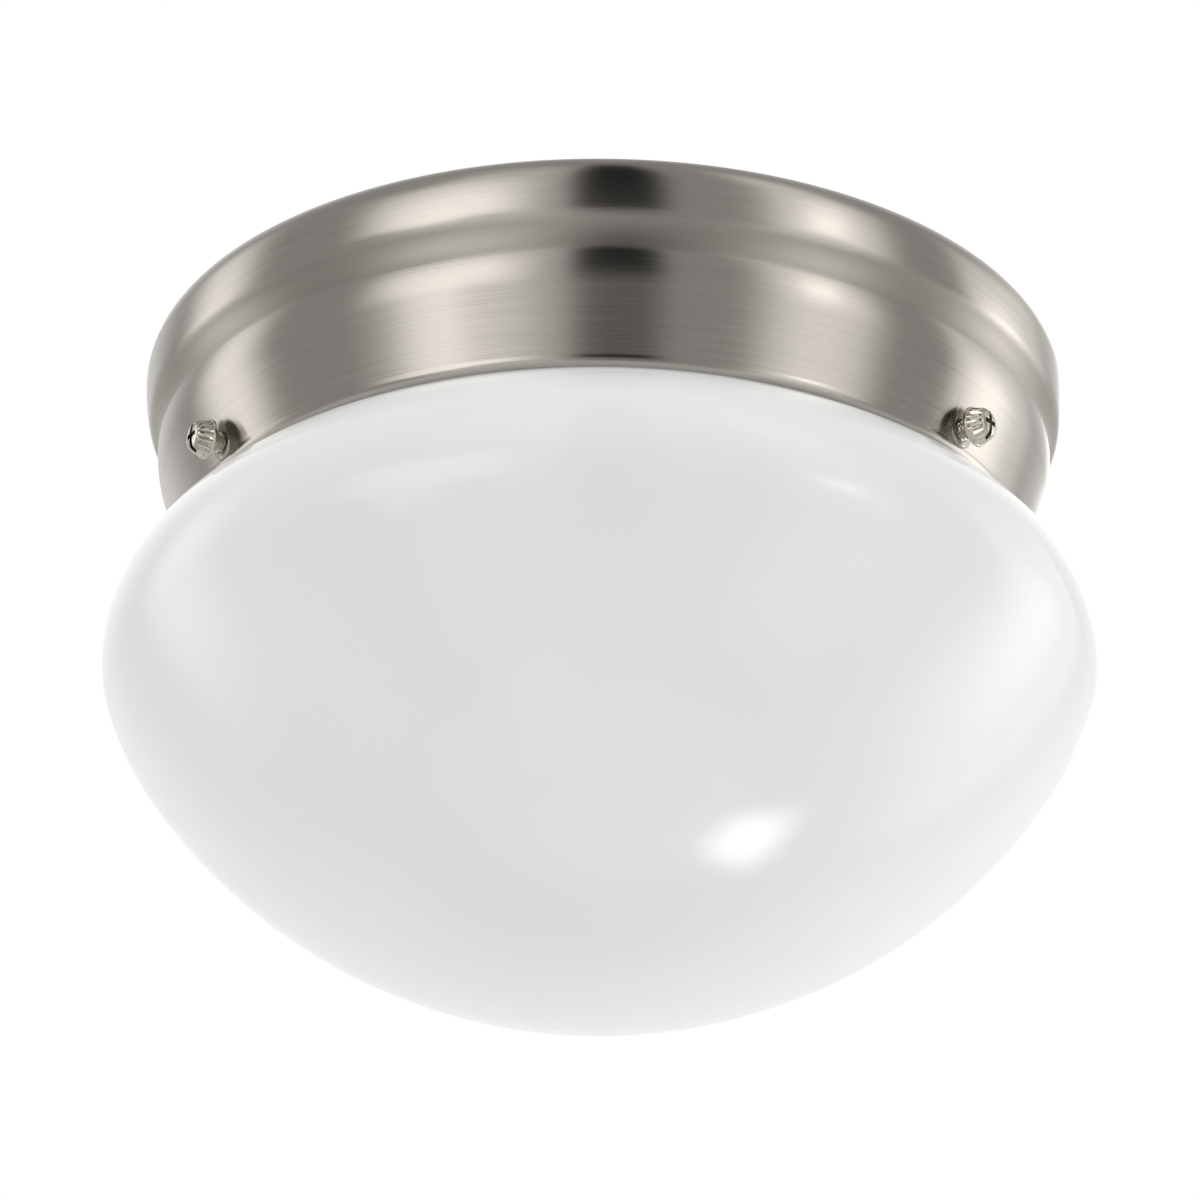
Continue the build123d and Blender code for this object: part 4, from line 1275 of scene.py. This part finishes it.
class CEILINGLIGHT_OT_stage(bpy.types.Operator):
    """Build the studio: the floor, the light around the object and the camera"""

    bl_idname = "ceiling_light.stage"
    bl_label = "Studio"

    def execute(self, context):
        sizes, scene, reach = setting("studio"), context.scene, 9
        slab = block((-reach, -reach, sizes.floor - 0.01), (reach, reach, sizes.floor))
        ground = linked("floor", slab)
        ground.data.materials.append(plain("studio floor", (0.8, 0.8, 0.8), 0.6, 0.0, 4.0, 0.01))
        for rays in ("visible_diffuse", "visible_glossy", "visible_shadow", "visible_transmission"):
            setattr(ground, rays, False)

        scene.world = bpy.data.worlds.new("studio")
        scene.world.use_nodes = True
        scene.world.node_tree.nodes.clear()
        work = Tree(scene.world.node_tree)
        lit = work.field("ShaderNodeBackground", {
            "Color": (1.0, 0.99, 0.975), "Strength": studio_light(work, sizes.level)})
        white = work.field("ShaderNodeBackground", {"Color": (1.0, 1.0, 1.0)})
        seen = work.field("ShaderNodeLightPath", output="Is Camera Ray")
        mixed = work.field("ShaderNodeMixShader", (seen, lit, white))
        work.node("ShaderNodeOutputWorld", {"Surface": mixed})
        scene.view_settings.view_transform = "Standard"

        data = bpy.data.cameras.new("camera")
        data.lens, data.sensor_width, data.sensor_fit = sizes.lens, 36.0, "HORIZONTAL"
        data.clip_start, data.clip_end = 0.01, 50.0
        look = Vector((0, cos(sizes.rise), sin(sizes.rise)))
        up = Vector((0, -sin(sizes.rise), cos(sizes.rise)))
        right = Vector((1, 0, 0))
        at = Vector((0, 0, sizes.aim)) - look * sizes.distance
        # the picture's middle lies a little above and beside the point that was aimed at
        look = (look - right * 0.00035 + up * 0.0043).normalized()
        right = (right - look * right.dot(look)).normalized()
        up, c, s = right.cross(look), cos(sizes.roll), sin(sizes.roll)
        turn = Matrix((right * c + up * s, up * c - right * s, -look)).transposed().to_4x4()
        scene.camera = linked("camera", data)
        scene.camera.matrix_world = Matrix.Translation(at) @ turn
        return {"FINISHED"}


# ---------------------------------------------------------------- panel and registration

OPERATORS = [
    CEILINGLIGHT_OT_pan, CEILINGLIGHT_OT_shade, CEILINGLIGHT_OT_thumbscrews,
    CEILINGLIGHT_OT_mount, CEILINGLIGHT_OT_socket, CEILINGLIGHT_OT_lamp, CEILINGLIGHT_OT_stage,
]


class CEILINGLIGHT_PT_sidebar(bpy.types.Panel):
    """Lists the pieces of the ceiling light and what can be changed on them"""

    bl_idname = "CEILINGLIGHT_PT_sidebar"
    bl_label = "Ceiling Light"
    bl_space_type = "VIEW_3D"
    bl_region_type = "UI"
    bl_category = "Ceiling Light"

    def draw(self, context):
        for operator in OPERATORS:
            self.layout.operator(operator.bl_idname)
        for name, group in SETTINGS.items():
            box = self.layout.box()
            for key in group.__annotations__:
                box.prop(getattr(context.scene, name), key)


CLASSES = list(SETTINGS.values()) + OPERATORS + [CEILINGLIGHT_PT_sidebar]


def register():
    for item in CLASSES:
        bpy.utils.register_class(item)
    for name, group in SETTINGS.items():
        setattr(bpy.types.Scene, name, bpy.props.PointerProperty(type=group))


def unregister():
    for name in SETTINGS:
        delattr(bpy.types.Scene, name)
    for item in reversed(CLASSES):
        bpy.utils.unregister_class(item)


def main():
    register()
    for operator in OPERATORS:
        getattr(bpy.ops.ceiling_light, operator.bl_idname.split(".")[1])()


if __name__ == "__main__":
    main()
